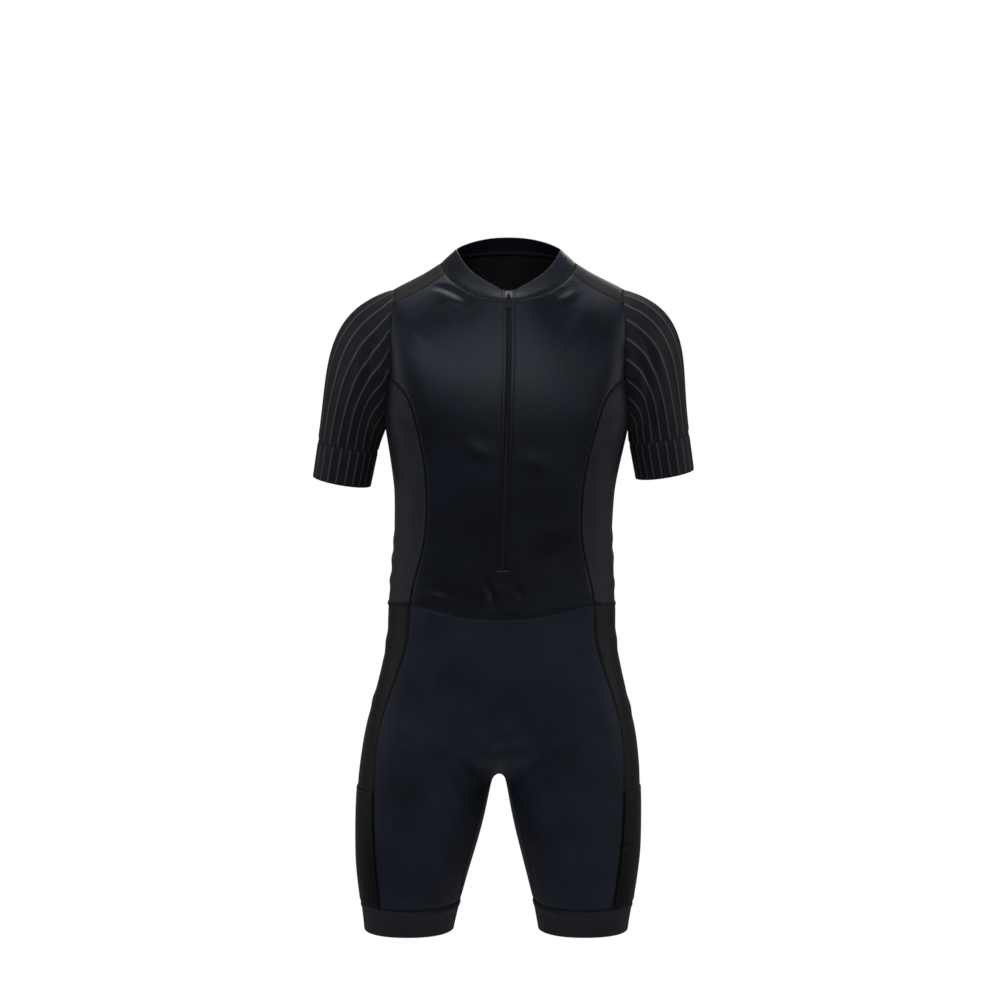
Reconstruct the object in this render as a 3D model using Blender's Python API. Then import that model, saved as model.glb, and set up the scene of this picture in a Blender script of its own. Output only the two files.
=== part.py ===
"""Short-sleeved, knee-length one-piece race suit with a front zip, in the shape it keeps when worn.

Frame: +X is the wearer's left, -Y is the front, +Z is up. The origin is the middle of the
neck opening at the level where the shoulders carry the suit. Tables are in millimetres.

The cloth is one skin, worked out from rings (neck to waist), from trunk and leg sections
(waist to hem) and from the armholes (sleeves). Each sewn piece is the part of that skin
between its seams, given a wall and kept 0.3 mm from its neighbours.
"""

import math

import bmesh
import bpy
import numpy as np
from mathutils import Matrix, Vector

MM = 0.001

# Cloth and seams
CLOTH = 1.5
COLLAR_CLOTH = 2.0
BAND_CLOTH = 2.0
POCKET_CLOTH = 1.1
SEAM_GAP = 0.3

# The two halves of the suit are parted by a narrow strip down the middle, as wide as the zip's slot
HALF_STRIP = 4.0

# Levels
WAIST_Z = -462.0
CROTCH_Z = -690.0
BAND_Z = -865.0
HEM_Z = -908.0
ZIP_END_Z = -412.5
POCKET_TOP_Z = -712.0

# Quads across each piece, from seam to seam; neighbours share them
FRONT_COLUMNS = 8
SIDE_COLUMNS = 9
BACK_COLUMNS = 8
SHOULDER_COLUMNS = 6
INNER_LEG_COLUMNS = 6
COLLAR_ROWS = 2
PRINCESS_ROWS = 13
ARMHOLE_FRONT_ROWS = 4
ARMHOLE_BACK_ROWS = 4
YOKE_ROWS = 3
SLEEVE_ROWS = 10
CUFF_ROWS = 2
BAND_ROWS = 2

# Rings of the upper body, from the neckline out over the shoulders and down to the waist seam.
# side: half width and height at the side; front and back: depth and height on the centre line;
# square: roundness of the outline (2 is an ellipse); fall: how late a ring drops from the side;
# centre: sideways place of the ring's middle.
RING_COLUMNS = ("side_x", "side_z", "front_y", "front_z", "back_y", "back_z", "square", "fall", "centre")
RINGS = {
    "neckline": (92, 0, -80, -51, 62, 16, 2.0, 1.35, 2),
    "neck_slope": (120, -17, -92, -82, 81, -16, 2.15, 1.5, 2.5),
    "shoulder": (148, -29.5, -101, -112, 95, -57, 2.35, 1.6, 2.5),
    "shoulder_tip": (168, -47, -108, -140, 106, -96, 2.6, 1.7, 2),
    "upper_armhole": (175, -84, -112, -163, 112, -130, 2.8, 1.7, 1),
    "mid_armhole": (174, -130, -114, -184, 116, -160, 2.85, 1.7, 0.5),
    "low_armhole": (170.5, -176, -115, -207, 118, -193, 2.85, 1.7, 0),
    "armpit": (165, -222, -114, -232, 117, -228, 2.75, 1.7, -0.5),
    "chest": (156.5, -268, -112, -268, 112, -268, 2.65, 1.7, -2),
    "ribs": (150, -312, -107, -312, 104, -312, 2.55, 1.7, -3.5),
    "upper_waist": (149, -358, -101, -358, 95, -358, 2.45, 1.7, -5),
    "waist": (152, -407, -95, -407, 88, -407, 2.4, 1.7, -6),
    "waist_seam": (155, WAIST_Z, -92, WAIST_Z, 92, WAIST_Z, 2.4, 1.7, -7),
}
NECK = 0.0
WAIST = float(len(RINGS) - 1)

# The collar's top edge: a V at the front, standing up at the back of the neck
COLLAR_TOP = {"side_x": 71, "side_z": 19, "front_y": -67, "front_z": -39.5, "back_y": 48, "back_z": 37}
COLLAR_V = 0.62

# Armhole: an oval seen from the side
ARMHOLE = {"middle_y": -3, "middle_z": -128, "half_width": 67, "half_height": 94}

# Where the seams meet the armhole, in turns of its oval: 0 at the shoulder, 90 at the front
YOKE_AT_ARMHOLE = 39
PRINCESS_AT_ARMHOLE = 108
BACK_SEAM_AT_ARMHOLE = 241
SHOULDER_BLADE_AT_ARMHOLE = 303

# Rings on the centre lines that lie level with the lower end of the armhole's front and back edge
FRONT_RING_BY_ARMHOLE = 3.6
BACK_RING_BY_ARMHOLE = 4.2

# Where the shoulder's seams meet the neckline: degrees from the centre front
YOKE_AT_NECK = 69
SHOULDER_BLADE_AT_NECK = 128

# Seams down the body and the thigh: distance from the middle at each height
YOKE = {-45.5: 138, -39.5: 121, -31: 108.5, -22: 98}
PRINCESS_FRONT = {
    -161: 147, -180: 131, -213: 121, -241: 114, -276: 107,
    -320: 103.5, -362: 104, -400: 111, -430: 119, -462: 124,
}
PRINCESS_BACK = {-186: 143, -206: 130, -240: 119, -290: 110, -350: 106, -410: 112, -462: 120}
THIGH_FRONT = {
    -462: 124, -500: 125, -543: 137, -590: 154, -632: 165,
    -675: 168.5, -733: 169, -792: 166, -845: 160, -908: 153,
}
THIGH_BACK = {
    -462: 120, -500: 123, -543: 134, -590: 150, -632: 161,
    -675: 165, -733: 166, -792: 163, -845: 157, -908: 150,
}

# Trunk from the waist seam to the crotch, and the hollow that the centre line falls into there
TRUNK_COLUMNS = ("half_width", "front_y", "back_y", "square")
TRUNK = {
    -462: (155, -92, 92, 2.4),
    -500: (156, -93, 101, 2.4),
    -540: (162, -93, 113, 2.4),
    -590: (174, -91, 121, 2.4),
    -640: (186, -82, 116, 2.4),
    -670: (190, -64, 92, 2.4),
    -690: (192, -38, 45, 2.4),
    -760: (194, -30, 36, 2.4),
}

# Legs: sides and depth of each section, the half angle of the inner-leg panel's seams
# from the front, and the sideways place of the line between the legs
LEG_COLUMNS = ("outer", "inner", "front_y", "back_y", "seam_angle", "centre")
LEG = {
    -462: (155, 0, -92, 92, 78, -7),
    -560: (168, 0, -91, 116, 78, -8),
    -600: (177.5, 0, -90, 120, 77, -8.5),
    -650: (188, 2, -88, 117, 76, -9.5),
    -690: (192.5, 8, -86, 108, 74, -10.5),
    -702: (193, 10, -86, 104, 72, -11),
    -734: (194.5, 14.5, -85, 96, 66, -11.5),
    -767: (195, 22, -84, 89, 62, -12),
    -800: (194.5, 31, -82, 83, 62, -12.5),
    -832: (191.5, 40, -79, 77, 66, -13.5),
    -865: (187, 49, -75, 72, 73, -14),
    -908: (181, 58, -70, 67, 80, -15),
}
LEG_SQUARE = 2.15
TRUNK_TO_LEG_TOP = -555.0
ARCH_HEIGHT = 40.0
BRIDGE_ROUNDING = 26.0
BRIDGE_ENDS = 60.0
CENTRE_LINE_WIDTH = 18.0
LEG_LEVELS = (
    -462, -485, -508, -531, -554, -577, -600, -623, -646, -669,
    -690, -700, -712, -730, -750, -772, -795, -818, -842, -865,
)
CROTCH_ROW = LEG_LEVELS.index(-690)
POCKET_ROW = LEG_LEVELS.index(-712)
BAND_SEAM_DIP = 0.07
BAND_DIP_REACH = 75.0

# The waist seam dips at the middle of the front: its height over WAIST_Z at each distance from there,
# how far above and below the seam the cloth follows it, and the depth over which the dip fades at the sides
WAIST_DIP = {0: -11.5, 40: -10.5, 70: -5, 104: 1.5, 122: 5.5, 140: 3, 156: 0.5}
WAIST_DIP_REACH = 95.0
WAIST_DIP_FADE = 45.0

# Sleeves: the arm's line, its sections, and how the cloth leaves the armhole at four places
ARM_COLUMNS = ("hem_x", "hem_y", "hem_z", "lean_out", "lean_back")
ARMS = {"left": (215, 11, -286, 0.165, 0.08), "right": (225, 11, -296, 0.18, 0.08)}
CUFF_LENGTH = 50.0
CUFF_SEAM_HALF = (41, 48)
CUFF_HEM_HALF = (39.5, 46)
LEAVE_COLUMNS = ("x", "y", "z", "start_length", "end_length")
LEAVE = {
    "top": (0.96, 0.0, -0.27, 108, 95),
    "front": (0.80, -0.42, -0.50, 46, 50),
    "underarm": (0.28, 0.04, -0.96, 8, 9),
    "back": (0.78, 0.42, -0.50, 46, 50),
}
RIB_HEIGHT = 1.1
RIB_DEPTH = 0.4
RIBS_START = 2.5

# Largest folds: (x, z) of each end, the side they are on, height outwards, half width
FOLD_COLUMNS = ("x0", "z0", "x1", "z1", "side", "height", "half_width")
FOLDS = {
    "below_collar_right": (-104, -30, -58, -46, "front", 2.4, 9),
    "crotch_left": (10, -640, 55, -676, "front", -2.6, 13),
    "crotch_right": (-32, -640, -78, -672, "front", -2.6, 13),
    "crotch_cross": (-52, -655, 30, -655, "front", -1.8, 12),
    "seat_left": (20, -655, 90, -690, "back", -2.6, 14),
    "seat_right": (-40, -655, -110, -690, "back", -2.6, 14),
    "small_of_back": (-70, -428, 60, -436, "back", 1.8, 12),
    "left_arm_upper": (180, -118, 203, -180, "front", -2.2, 8),
    "left_arm_lower": (180, -152, 192, -205, "front", -2.0, 7),
    "right_arm_upper": (-180, -118, -194, -184, "front", -2.2, 8),
    "right_arm_lower": (-180, -155, -189, -212, "front", -2.0, 7),
}

# Zip
CHAIN_HALF = 2.9
CHAIN_FRONT = 0.2
TAPE_HALF = 12.0
TAPE_THICKNESS = 0.8
TAPE_BEHIND_PANEL = 0.65
TEETH_APART = 0.3
SLIDER = {"width": 8.4, "length": 12.0, "plate": 1.5, "clear": 0.2}
BAIL = {
    "width": 2.2, "half_length": 4.4, "window": 3.2, "thickness": 1.1,
    "into_plate": 0.5, "squareness": 0.6, "steps": 8,
}
PULL = {"width": 5.8, "arm": 1.4, "bar": 1.0, "loop": 6.0, "length": 21.0, "thickness": 1.0}
PIN_BELOW_MIDDLE = 3.0
PIN_ABOVE_PLATE = 1.8
PULL_DROOP = 18.0


def clear_scene():
    for obj in list(bpy.data.objects):
        bpy.data.objects.remove(obj)


def material(name, colour, roughness, metallic=0.0):
    made = bpy.data.materials.new(name)
    made.use_nodes = True
    shader = made.node_tree.nodes["Principled BSDF"]
    shader.inputs["Base Color"].default_value = (*colour, 1.0)
    shader.inputs["Roughness"].default_value = roughness
    shader.inputs["Metallic"].default_value = metallic
    return made


def through(at, xs, ys):
    """A smooth curve through the points (xs, ys) that never overshoots them, read at the given places."""
    xs, ys = np.asarray(xs, float), np.asarray(ys, float)
    if xs[0] > xs[-1]:
        xs, ys = xs[::-1], ys[::-1]
    slope = np.diff(ys) / np.diff(xs)
    same_way = slope[:-1] * slope[1:] > 0
    tangent = np.zeros(len(xs))
    total = np.where(same_way, slope[:-1] + slope[1:], 1)
    tangent[1:-1] = np.where(same_way, 2 * slope[:-1] * slope[1:] / total, 0)
    tangent[0], tangent[-1] = slope[0], slope[-1]
    at = np.clip(np.asarray(at, float), xs[0], xs[-1])
    i = np.clip(np.searchsorted(xs, at) - 1, 0, len(xs) - 2)
    h = xs[i + 1] - xs[i]
    t = (at - xs[i]) / h
    return (
        ys[i] * (1 + 2 * t) * (1 - t) ** 2
        + ys[i + 1] * t**2 * (3 - 2 * t)
        + h * tangent[i] * t * (1 - t) ** 2
        - h * tangent[i + 1] * t**2 * (1 - t)
    )


def column(table, names, name):
    return [row[names.index(name)] for row in table.values()]


def ease(t):
    t = np.clip(t, 0, 1)
    return t * t * (3 - 2 * t)


def unit(v):
    return v / np.maximum(np.linalg.norm(v, axis=-1, keepdims=True), 1e-12)


def signed_power(value, power):
    return np.sign(value) * np.abs(value) ** power


# Upper body


def ring_size(name, u):
    return through(u, np.arange(len(RINGS)), column(RINGS, RING_COLUMNS, name))


def upper_body(angle, u, side):
    """A point of the upper body: angle in degrees from the centre front, u counts the rings from the neck."""
    angle, u = np.broadcast_arrays(np.asarray(angle, float), np.asarray(u, float))
    s, c = np.sin(np.radians(angle)), np.cos(np.radians(angle))
    power = 2 / ring_size("square", u)
    drop = np.abs(c) ** ring_size("fall", u)
    half = ring_size("side_x", u) - HALF_STRIP
    x = ring_size("centre", u) + side * (HALF_STRIP + half * np.abs(s) ** power)
    depth = np.where(c > 0, ring_size("front_y", u), ring_size("back_y", u))
    low = np.where(c > 0, ring_size("front_z", u), ring_size("back_z", u))
    y = depth * np.abs(c) ** power
    z = ring_size("side_z", u) * (1 - drop) + low * drop
    return np.stack([x, y, z], axis=-1)


def find_on_body(target, axes, angle, u, side):
    """Angle and ring where the upper body has the wanted pair of coordinates, from a first guess."""
    place = np.stack([angle, u], axis=-1).astype(float)
    axes = list(axes)
    step = np.array([0.5, -0.01])
    for _ in range(40):
        now = upper_body(place[..., 0], place[..., 1], side)[..., axes]
        by_angle = (upper_body(place[..., 0] + step[0], place[..., 1], side)[..., axes] - now) / step[0]
        by_ring = (upper_body(place[..., 0], place[..., 1] + step[1], side)[..., axes] - now) / step[1]
        slopes = np.stack([by_angle, by_ring], axis=-1)
        move = np.linalg.solve(slopes, (target - now)[..., None])[..., 0]
        place += np.clip(move, [-6, -0.4], [6, 0.4])
        place[..., 1] = np.clip(place[..., 1], 0.02, WAIST)
    return place


def armhole(turns, side):
    """Places (angle, ring) of the armhole's edge; turns in degrees, 0 at the shoulder, 90 at the front."""
    turns = np.radians(np.asarray(turns, float))
    y = ARMHOLE["middle_y"] - ARMHOLE["half_width"] * np.sin(turns)
    z = ARMHOLE["middle_z"] + ARMHOLE["half_height"] * np.cos(turns)
    guess_angle = 90 - 26 * np.sin(turns)
    guess_ring = 4.7 - 2.3 * np.cos(turns)
    return find_on_body(np.stack([y, z], axis=-1), (1, 2), guess_angle, guess_ring, side)


def even_steps(places, side, rows):
    """Places along a curve through the given ones, the same distance apart on the body."""
    points = upper_body(places[:, 0], places[:, 1], side)
    length = np.concatenate([[0], np.cumsum(np.linalg.norm(np.diff(points, axis=0), axis=1))])
    at = np.linspace(0, length[-1], rows + 1)
    return np.stack([through(at, length, places[:, 0]), through(at, length, places[:, 1])], axis=-1)


def yoke_seam(side, armhole_end, neck_end):
    """Places along the shoulder's front seam, from the armhole to the neck, found from its front view."""
    z, offset = np.array(list(YOKE), float), np.array(list(YOKE.values()), float)
    guess_ring = through(offset, column(RINGS, RING_COLUMNS, "side_x")[:4], np.arange(4))
    centre = ring_size("centre", guess_ring)
    target = np.stack([centre + side * offset, z], axis=-1)
    guess_angle = np.full(len(z), (YOKE_AT_NECK + YOKE_AT_ARMHOLE) / 2 + 12)
    found = find_on_body(target, (0, 2), guess_angle, guess_ring, side)
    return even_steps(np.concatenate([armhole_end[None], found, neck_end[None]]), side, YOKE_ROWS)


def body_seam(table, front, side, rows, start):
    """Places along a seam down the body, from the waist up to the armhole."""
    z = np.array(list(table), float)
    offset = np.array(list(table.values()), float)
    guess_ring = through(z, column(RINGS, RING_COLUMNS, "side_z"), np.arange(len(RINGS)))
    centre = ring_size("centre", guess_ring)
    guess_angle = np.full(len(z), 52.0 if front else 128.0)
    target = np.stack([centre + side * offset, z], axis=-1)
    found = find_on_body(target, (0, 2), guess_angle, guess_ring, side)
    found[-1] = find_on_waist(offset[-1], front)
    return even_steps(np.concatenate([start[None], found]), side, rows)[::-1]


def find_on_waist(offset, front):
    """The place on the waist ring at a distance from its middle."""
    half, square = ring_size("side_x", WAIST) - HALF_STRIP, ring_size("square", WAIST)
    angle = math.degrees(math.asin(((offset - HALF_STRIP) / half) ** (square / 2)))
    return np.array([angle if front else 180 - angle, WAIST])


def coons(bottom, top, left, right, fade=1):
    """Places inside four edges. bottom and top run left to right, left and right run bottom to top.
    The bends of the left and right edges die away inwards, faster with a larger fade."""
    s = np.linspace(0, 1, len(bottom))[None, :, None]
    t = np.linspace(0, 1, len(left))[:, None, None]
    left_bend = left[:, None] - ((1 - t) * bottom[0] + t * top[0])
    right_bend = right[:, None] - ((1 - t) * bottom[-1] + t * top[-1])
    return (1 - t) * bottom[None] + t * top[None] + (1 - s) ** fade * left_bend + s**fade * right_bend


def joined(*runs):
    """Runs of places end to end, each starting where the one before it stopped."""
    return np.concatenate([runs[0]] + [run[1:] for run in runs[1:]])


def between(a, b, count):
    return np.linspace(a, b, count + 1)


def body_seams(side):
    """The places of every seam of one half of the upper body."""
    top = YOKE_AT_ARMHOLE + 360
    turns = {
        "front": between(YOKE_AT_ARMHOLE, PRINCESS_AT_ARMHOLE, ARMHOLE_FRONT_ROWS),
        "under": between(PRINCESS_AT_ARMHOLE, BACK_SEAM_AT_ARMHOLE, SIDE_COLUMNS),
        "back": between(BACK_SEAM_AT_ARMHOLE, SHOULDER_BLADE_AT_ARMHOLE, ARMHOLE_BACK_ROWS),
        "over": between(SHOULDER_BLADE_AT_ARMHOLE, top, SHOULDER_COLUMNS),
    }
    edge = {name: armhole(values, side) for name, values in turns.items()}
    princess = body_seam(PRINCESS_FRONT, True, side, PRINCESS_ROWS, edge["front"][-1])
    back_seam = body_seam(PRINCESS_BACK, False, side, PRINCESS_ROWS, edge["back"][0])
    neck_yoke = np.array([YOKE_AT_NECK, NECK])
    neck_blade = np.array([SHOULDER_BLADE_AT_NECK, NECK])
    return {
        "turns": np.concatenate([values[:-1] for values in turns.values()]),
        "edge": edge,
        "princess": princess,
        "back_seam": back_seam,
        "yoke": yoke_seam(side, edge["front"][0], neck_yoke),
        "blade": between(edge["over"][0], neck_blade, YOKE_ROWS),
        "neck_front": between(np.array([0, NECK]), neck_yoke, FRONT_COLUMNS),
        "neck_over": between(neck_blade, neck_yoke, SHOULDER_COLUMNS),
        "neck_back": between(np.array([180, NECK]), neck_blade, BACK_COLUMNS),
        "waist_front": between(np.array([0, WAIST]), princess[0], FRONT_COLUMNS),
        "waist_side": between(princess[0], back_seam[0], SIDE_COLUMNS),
        "waist_back": between(np.array([180, WAIST]), back_seam[0], BACK_COLUMNS),
    }


def waist_dip(points):
    """The cloth near the waist seam follows its dip at the front."""
    off = np.abs(points[..., 0] - RINGS["waist_seam"][-1])
    lift = through(off, list(WAIST_DIP), list(WAIST_DIP.values()))
    near = 1 - ease(np.abs(points[..., 2] - WAIST_Z) / WAIST_DIP_REACH)
    points[..., 2] += lift * near * ease(-points[..., 1] / WAIST_DIP_FADE)
    return points


def body_block(places, side):
    return waist_dip(upper_body(places[..., 0], places[..., 1], side))


def centre_rings(rows, by_armhole, zip_end=False):
    """Rings of the rows on a centre line, and on the front one row where the zip ends."""
    lower = np.linspace(WAIST, by_armhole, PRINCESS_ROWS + 1)
    if zip_end:
        rings = np.linspace(0, WAIST, 400)
        end = float(np.interp(-ZIP_END_Z, -ring_size("front_z", rings), rings))
        lower = np.concatenate([[WAIST], np.linspace(end, by_armhole, PRINCESS_ROWS)])
    return np.concatenate([lower, np.linspace(by_armhole, NECK, rows - PRINCESS_ROWS + 1)[1:]])


def front_half(seams, side):
    right = joined(seams["princess"], seams["edge"]["front"][::-1], seams["yoke"])
    rings = centre_rings(len(right) - 1, FRONT_RING_BY_ARMHOLE, zip_end=True)
    left = np.stack([np.zeros(len(right)), rings], axis=-1)
    return body_block(coons(seams["waist_front"], seams["neck_front"], left, right), side)


def back_half(seams, side):
    right = joined(seams["back_seam"], seams["edge"]["back"], seams["blade"])
    rings = centre_rings(len(right) - 1, BACK_RING_BY_ARMHOLE)
    left = np.stack([np.full(len(right), 180.0), rings], axis=-1)
    return body_block(coons(seams["waist_back"], seams["neck_back"], left, right), side)


def shoulder(seams, side):
    return body_block(coons(seams["edge"]["over"], seams["neck_over"], seams["blade"], seams["yoke"]), side)


def side_body(seams, side):
    return body_block(
        coons(seams["waist_side"], seams["edge"]["under"], seams["princess"], seams["back_seam"], fade=3),
        side,
    )


def collar_half(seams, side):
    """From the centre front round to the centre back, rows from the neckline to the top edge."""
    angle = joined(seams["neck_front"], seams["neck_over"][::-1], seams["neck_back"][::-1])[:, 0]
    seam = upper_body(angle, np.zeros(len(angle)), side)
    s, c = np.sin(np.radians(angle)), np.cos(np.radians(angle))
    front = c > 0
    top = COLLAR_TOP
    drop = np.where(front, 1 - COLLAR_V * s - (1 - COLLAR_V) * s**5, np.abs(c) ** 1.6)
    x = RINGS["neckline"][-1] + side * (HALF_STRIP + (top["side_x"] - HALF_STRIP) * np.abs(s))
    y = np.where(front, top["front_y"], top["back_y"]) * np.abs(c)
    z = top["side_z"] * (1 - drop) + np.where(front, top["front_z"], top["back_z"]) * drop
    edge = np.stack([x, y, z], axis=-1)
    t = np.linspace(0, 1, COLLAR_ROWS + 1)[:, None, None]
    return (1 - t) * seam[None] + t * edge[None]


# Trunk and legs


def trunk_size(name, z):
    return through(z, list(TRUNK), column(TRUNK, TRUNK_COLUMNS, name))


def leg_size(name, z):
    return through(z, list(LEG), column(LEG, LEG_COLUMNS, name))


def leg_section(around, z, side):
    """A point of the leg's outline at a height; around in degrees, 0 at the front and 90 outside."""
    s, c = np.sin(np.radians(around)), np.cos(np.radians(around))
    outer, inner = leg_size("outer", z), leg_size("inner", z)
    front, back = leg_size("front_y", z), leg_size("back_y", z)
    power = 2 / LEG_SQUARE
    x = leg_size("centre", z) + side * ((outer + inner) / 2 + (outer - inner) / 2 * signed_power(s, power))
    y = (front + back) / 2 + (front - back) / 2 * signed_power(c, power)
    return np.stack([x, y, z + 0 * x], axis=-1)


def trunk_section(angle, z, side):
    s, c = np.sin(np.radians(angle)), np.cos(np.radians(angle))
    power = 2 / trunk_size("square", z)
    half = trunk_size("half_width", z) - HALF_STRIP
    x = leg_size("centre", z) + side * (HALF_STRIP + half * np.abs(s) ** power)
    y = np.where(c > 0, trunk_size("front_y", z), trunk_size("back_y", z)) * np.abs(c) ** power
    return np.stack([x, y, z + 0 * x], axis=-1)


def arch(z):
    """0 down to the crotch, then 1 once the legs have parted, by a quarter circle."""
    t = np.clip((CROTCH_Z - z) / ARCH_HEIGHT, 0, 1)
    return np.sqrt(1 - (1 - t) ** 2)


def band_dip(points):
    """The leg band's seam lies lower at the front than at the back; the hem is level."""
    lean = np.interp(-points[..., 2], [-BAND_Z - BAND_DIP_REACH, -BAND_Z, -HEM_Z], [0, BAND_SEAM_DIP, 0])
    points[..., 2] += lean * points[..., 1]
    return points


def smooth_max(a, b, reach):
    """The larger of two sizes, with the step between them rounded over a reach."""
    near = np.clip(reach - np.abs(a - b), 0, None) / reach
    return np.maximum(a, b) + near * near * reach / 4


def bridged(leg, around, z):
    """The leg's outline with the cloth stretched from leg to leg, as deep as the trunk's centre line."""
    front = around < 90
    sign = np.where(front, -1.0, 1.0)
    depth = leg[..., 1] * sign
    centre = np.where(front, -trunk_size("front_y", z), trunk_size("back_y", z))
    off_front = np.where(front, around, 180 - around)
    share = 1 - ease(off_front / BRIDGE_ENDS)
    made = leg.copy()
    made[..., 1] = sign * (depth + share * (smooth_max(depth, centre, BRIDGE_ROUNDING) - depth))
    return made


def lower_body(angle, z, side):
    """A point from the waist to the hem: angle in degrees from the centre front, outside, to the back.
    Below the crotch, 0 and 180 are the inner-leg panel's two seams."""
    angle, z = np.broadcast_arrays(np.asarray(angle, float), np.asarray(z, float))
    seam = leg_size("seam_angle", z)

    def both(at):
        around = -seam + at * (180 + 2 * seam) / 180
        leg = leg_section(around, z, side)
        return leg, bridged(leg, around, z)

    leg, joined_legs = both(angle)
    end = np.where(angle < 90, 0.0, 180.0)
    to_centre_line = trunk_section(end, z, side) - both(end)[1]
    near_line = 1 - ease(np.where(angle < 90, angle, 180 - angle) / CENTRE_LINE_WIDTH)
    joined_legs = joined_legs + near_line[..., None] * to_centre_line
    to_leg = ease((TRUNK_TO_LEG_TOP - z) / (TRUNK_TO_LEG_TOP - CROTCH_Z))[..., None]
    apart = arch(z)[..., None]
    above = (1 - to_leg) * trunk_section(angle, z, side) + to_leg * joined_legs
    below = (1 - apart) * joined_legs + apart * leg
    return band_dip(waist_dip(np.where((z >= CROTCH_Z)[..., None], above, below)))


def inner_leg(s, z, side):
    """A point of the inner-leg panel: s runs from its front seam (0) to its back seam (1)."""
    s, z = np.broadcast_arrays(np.asarray(s, float), np.asarray(z, float))
    seam = leg_size("seam_angle", z)
    leg = leg_section(-seam - s * (180 - 2 * seam), z, side)
    front, back = trunk_section(0 * s, z, side), trunk_section(0 * s + 180, z, side)
    line = (1 - s)[..., None] * front + s[..., None] * back
    share = arch(z)[..., None]
    return band_dip(share * leg + (1 - share) * line)


def thigh_seam(table, front, z):
    """Angle of a thigh seam at each height, where the cloth has the wanted distance from the middle."""
    wanted = through(z, list(table), list(table.values()))
    low = np.full(len(z), 15.0 if front else 90.0)
    high = np.full(len(z), 90.0 if front else 165.0)
    for _ in range(40):
        middle = (low + high) / 2
        offset = lower_body(middle, z, 1)[..., 0] - leg_size("centre", z)
        inside = offset < wanted if front else offset > wanted
        low = np.where(inside, middle, low)
        high = np.where(inside, high, middle)
    return (low + high) / 2


def leg_blocks(z, side):
    """Grids of the front, side, back and inner pieces over the given heights, rows running down."""
    z = np.asarray(z, float)
    front, back = thigh_seam(THIGH_FRONT, True, z), thigh_seam(THIGH_BACK, False, z)

    def grid(start, stop, count):
        share = np.linspace(0, 1, count + 1)[None]
        angle = start[:, None] * (1 - share) + stop[:, None] * share
        return lower_body(angle, np.broadcast_to(z[:, None], angle.shape), side)

    nothing, half_turn = np.zeros(len(z)), np.full(len(z), 180.0)
    s = np.broadcast_to(np.linspace(0, 1, INNER_LEG_COLUMNS + 1)[None], (len(z), INNER_LEG_COLUMNS + 1))
    return {
        "front": grid(nothing, front, FRONT_COLUMNS),
        "side": grid(front, back, SIDE_COLUMNS),
        "back": grid(back, half_turn, BACK_COLUMNS),
        "inner": inner_leg(s, np.broadcast_to(z[:, None], s.shape), side),
    }


# Sleeves


def arm_size(side):
    return dict(zip(ARM_COLUMNS, ARMS["left" if side > 0 else "right"]))


def arm_frame(side):
    arm = arm_size(side)
    axis = unit(np.array([side * arm["lean_out"], arm["lean_back"], -1.0]))
    outwards = unit(np.cross(axis, np.array([0, 1.0, 0])) * side)
    forwards = unit(np.cross(outwards, axis) * side)
    return axis, outwards, forwards if forwards[1] < 0 else -forwards


def arm_ring(turns, up, half, side):
    """Points round the arm, up millimetres above the hem."""
    arm = arm_size(side)
    axis, outwards, forwards = arm_frame(side)
    centre = np.array([side * arm["hem_x"], arm["hem_y"], arm["hem_z"]]) - up * axis
    turns = np.radians(turns)[:, None]
    return centre + half[0] * np.cos(turns) * outwards + half[1] * np.sin(turns) * forwards


def leave_armhole(turns, side):
    """Direction and lengths with which the sleeve leaves the armhole, mixed between its four sides."""
    c, s = np.cos(np.radians(turns)), np.sin(np.radians(turns))
    share = {
        "top": np.clip(c, 0, 1) ** 2,
        "underarm": np.clip(-c, 0, 1) ** 2,
        "front": np.clip(s, 0, 1) ** 2,
        "back": np.clip(-s, 0, 1) ** 2,
    }
    mixed = sum(share[name][:, None] * np.array(LEAVE[name]) for name in LEAVE)
    direction = unit(mixed[:, :3] * np.array([side, 1, 1]))
    return direction, mixed[:, 3:4], mixed[:, 4:5]


def rib_turns(turns, between_ribs):
    """The turns of the armhole's points and, if asked, of the places halfway between them."""
    if not between_ribs:
        return turns
    after = np.append(turns[1:], turns[0] + 360)
    return np.stack([turns, (turns + after) / 2], axis=1).ravel()


def sleeve_rows(seams, side, rows, between_ribs):
    """Rings of points from the armhole to the cuff's seam, on the rib lines and, if asked, between them."""
    turns = rib_turns(seams["turns"], between_ribs)
    places = armhole(turns, side)
    start = upper_body(places[:, 0], places[:, 1], side)
    if between_ribs:
        start[1::2] = (start[0::2] + np.roll(start[0::2], -1, axis=0)) / 2
    body_normal = normal_on_body(places, side)
    along = np.roll(start, -1, axis=0) - np.roll(start, 1, axis=0)
    inwards_of_hole = unit(np.cross(body_normal, along))
    middle = start.mean(axis=0)
    inwards_of_hole *= np.sign(np.sum(inwards_of_hole * (middle - start), axis=1, keepdims=True))
    start = start + SEAM_GAP * (body_normal + inwards_of_hole)
    direction, start_length, end_length = leave_armhole(turns, side)
    end = arm_ring(turns, CUFF_LENGTH, CUFF_SEAM_HALF, side)
    axis = arm_frame(side)[0]
    first, second = start + start_length * direction, end - end_length * axis
    t = np.linspace(0, 1, rows + 1)[:, None, None]
    return (
        (1 - t) ** 3 * start + 3 * t * (1 - t) ** 2 * first + 3 * t**2 * (1 - t) * second + t**3 * end
    )


def normal_on_body(places, side):
    angle, u = places[:, 0], places[:, 1]
    by_angle = upper_body(angle + 0.5, u, side) - upper_body(angle - 0.5, u, side)
    by_ring = upper_body(angle, u + 0.02, side) - upper_body(angle, u - 0.02, side)
    return unit(np.cross(by_ring, by_angle) * side)


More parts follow.
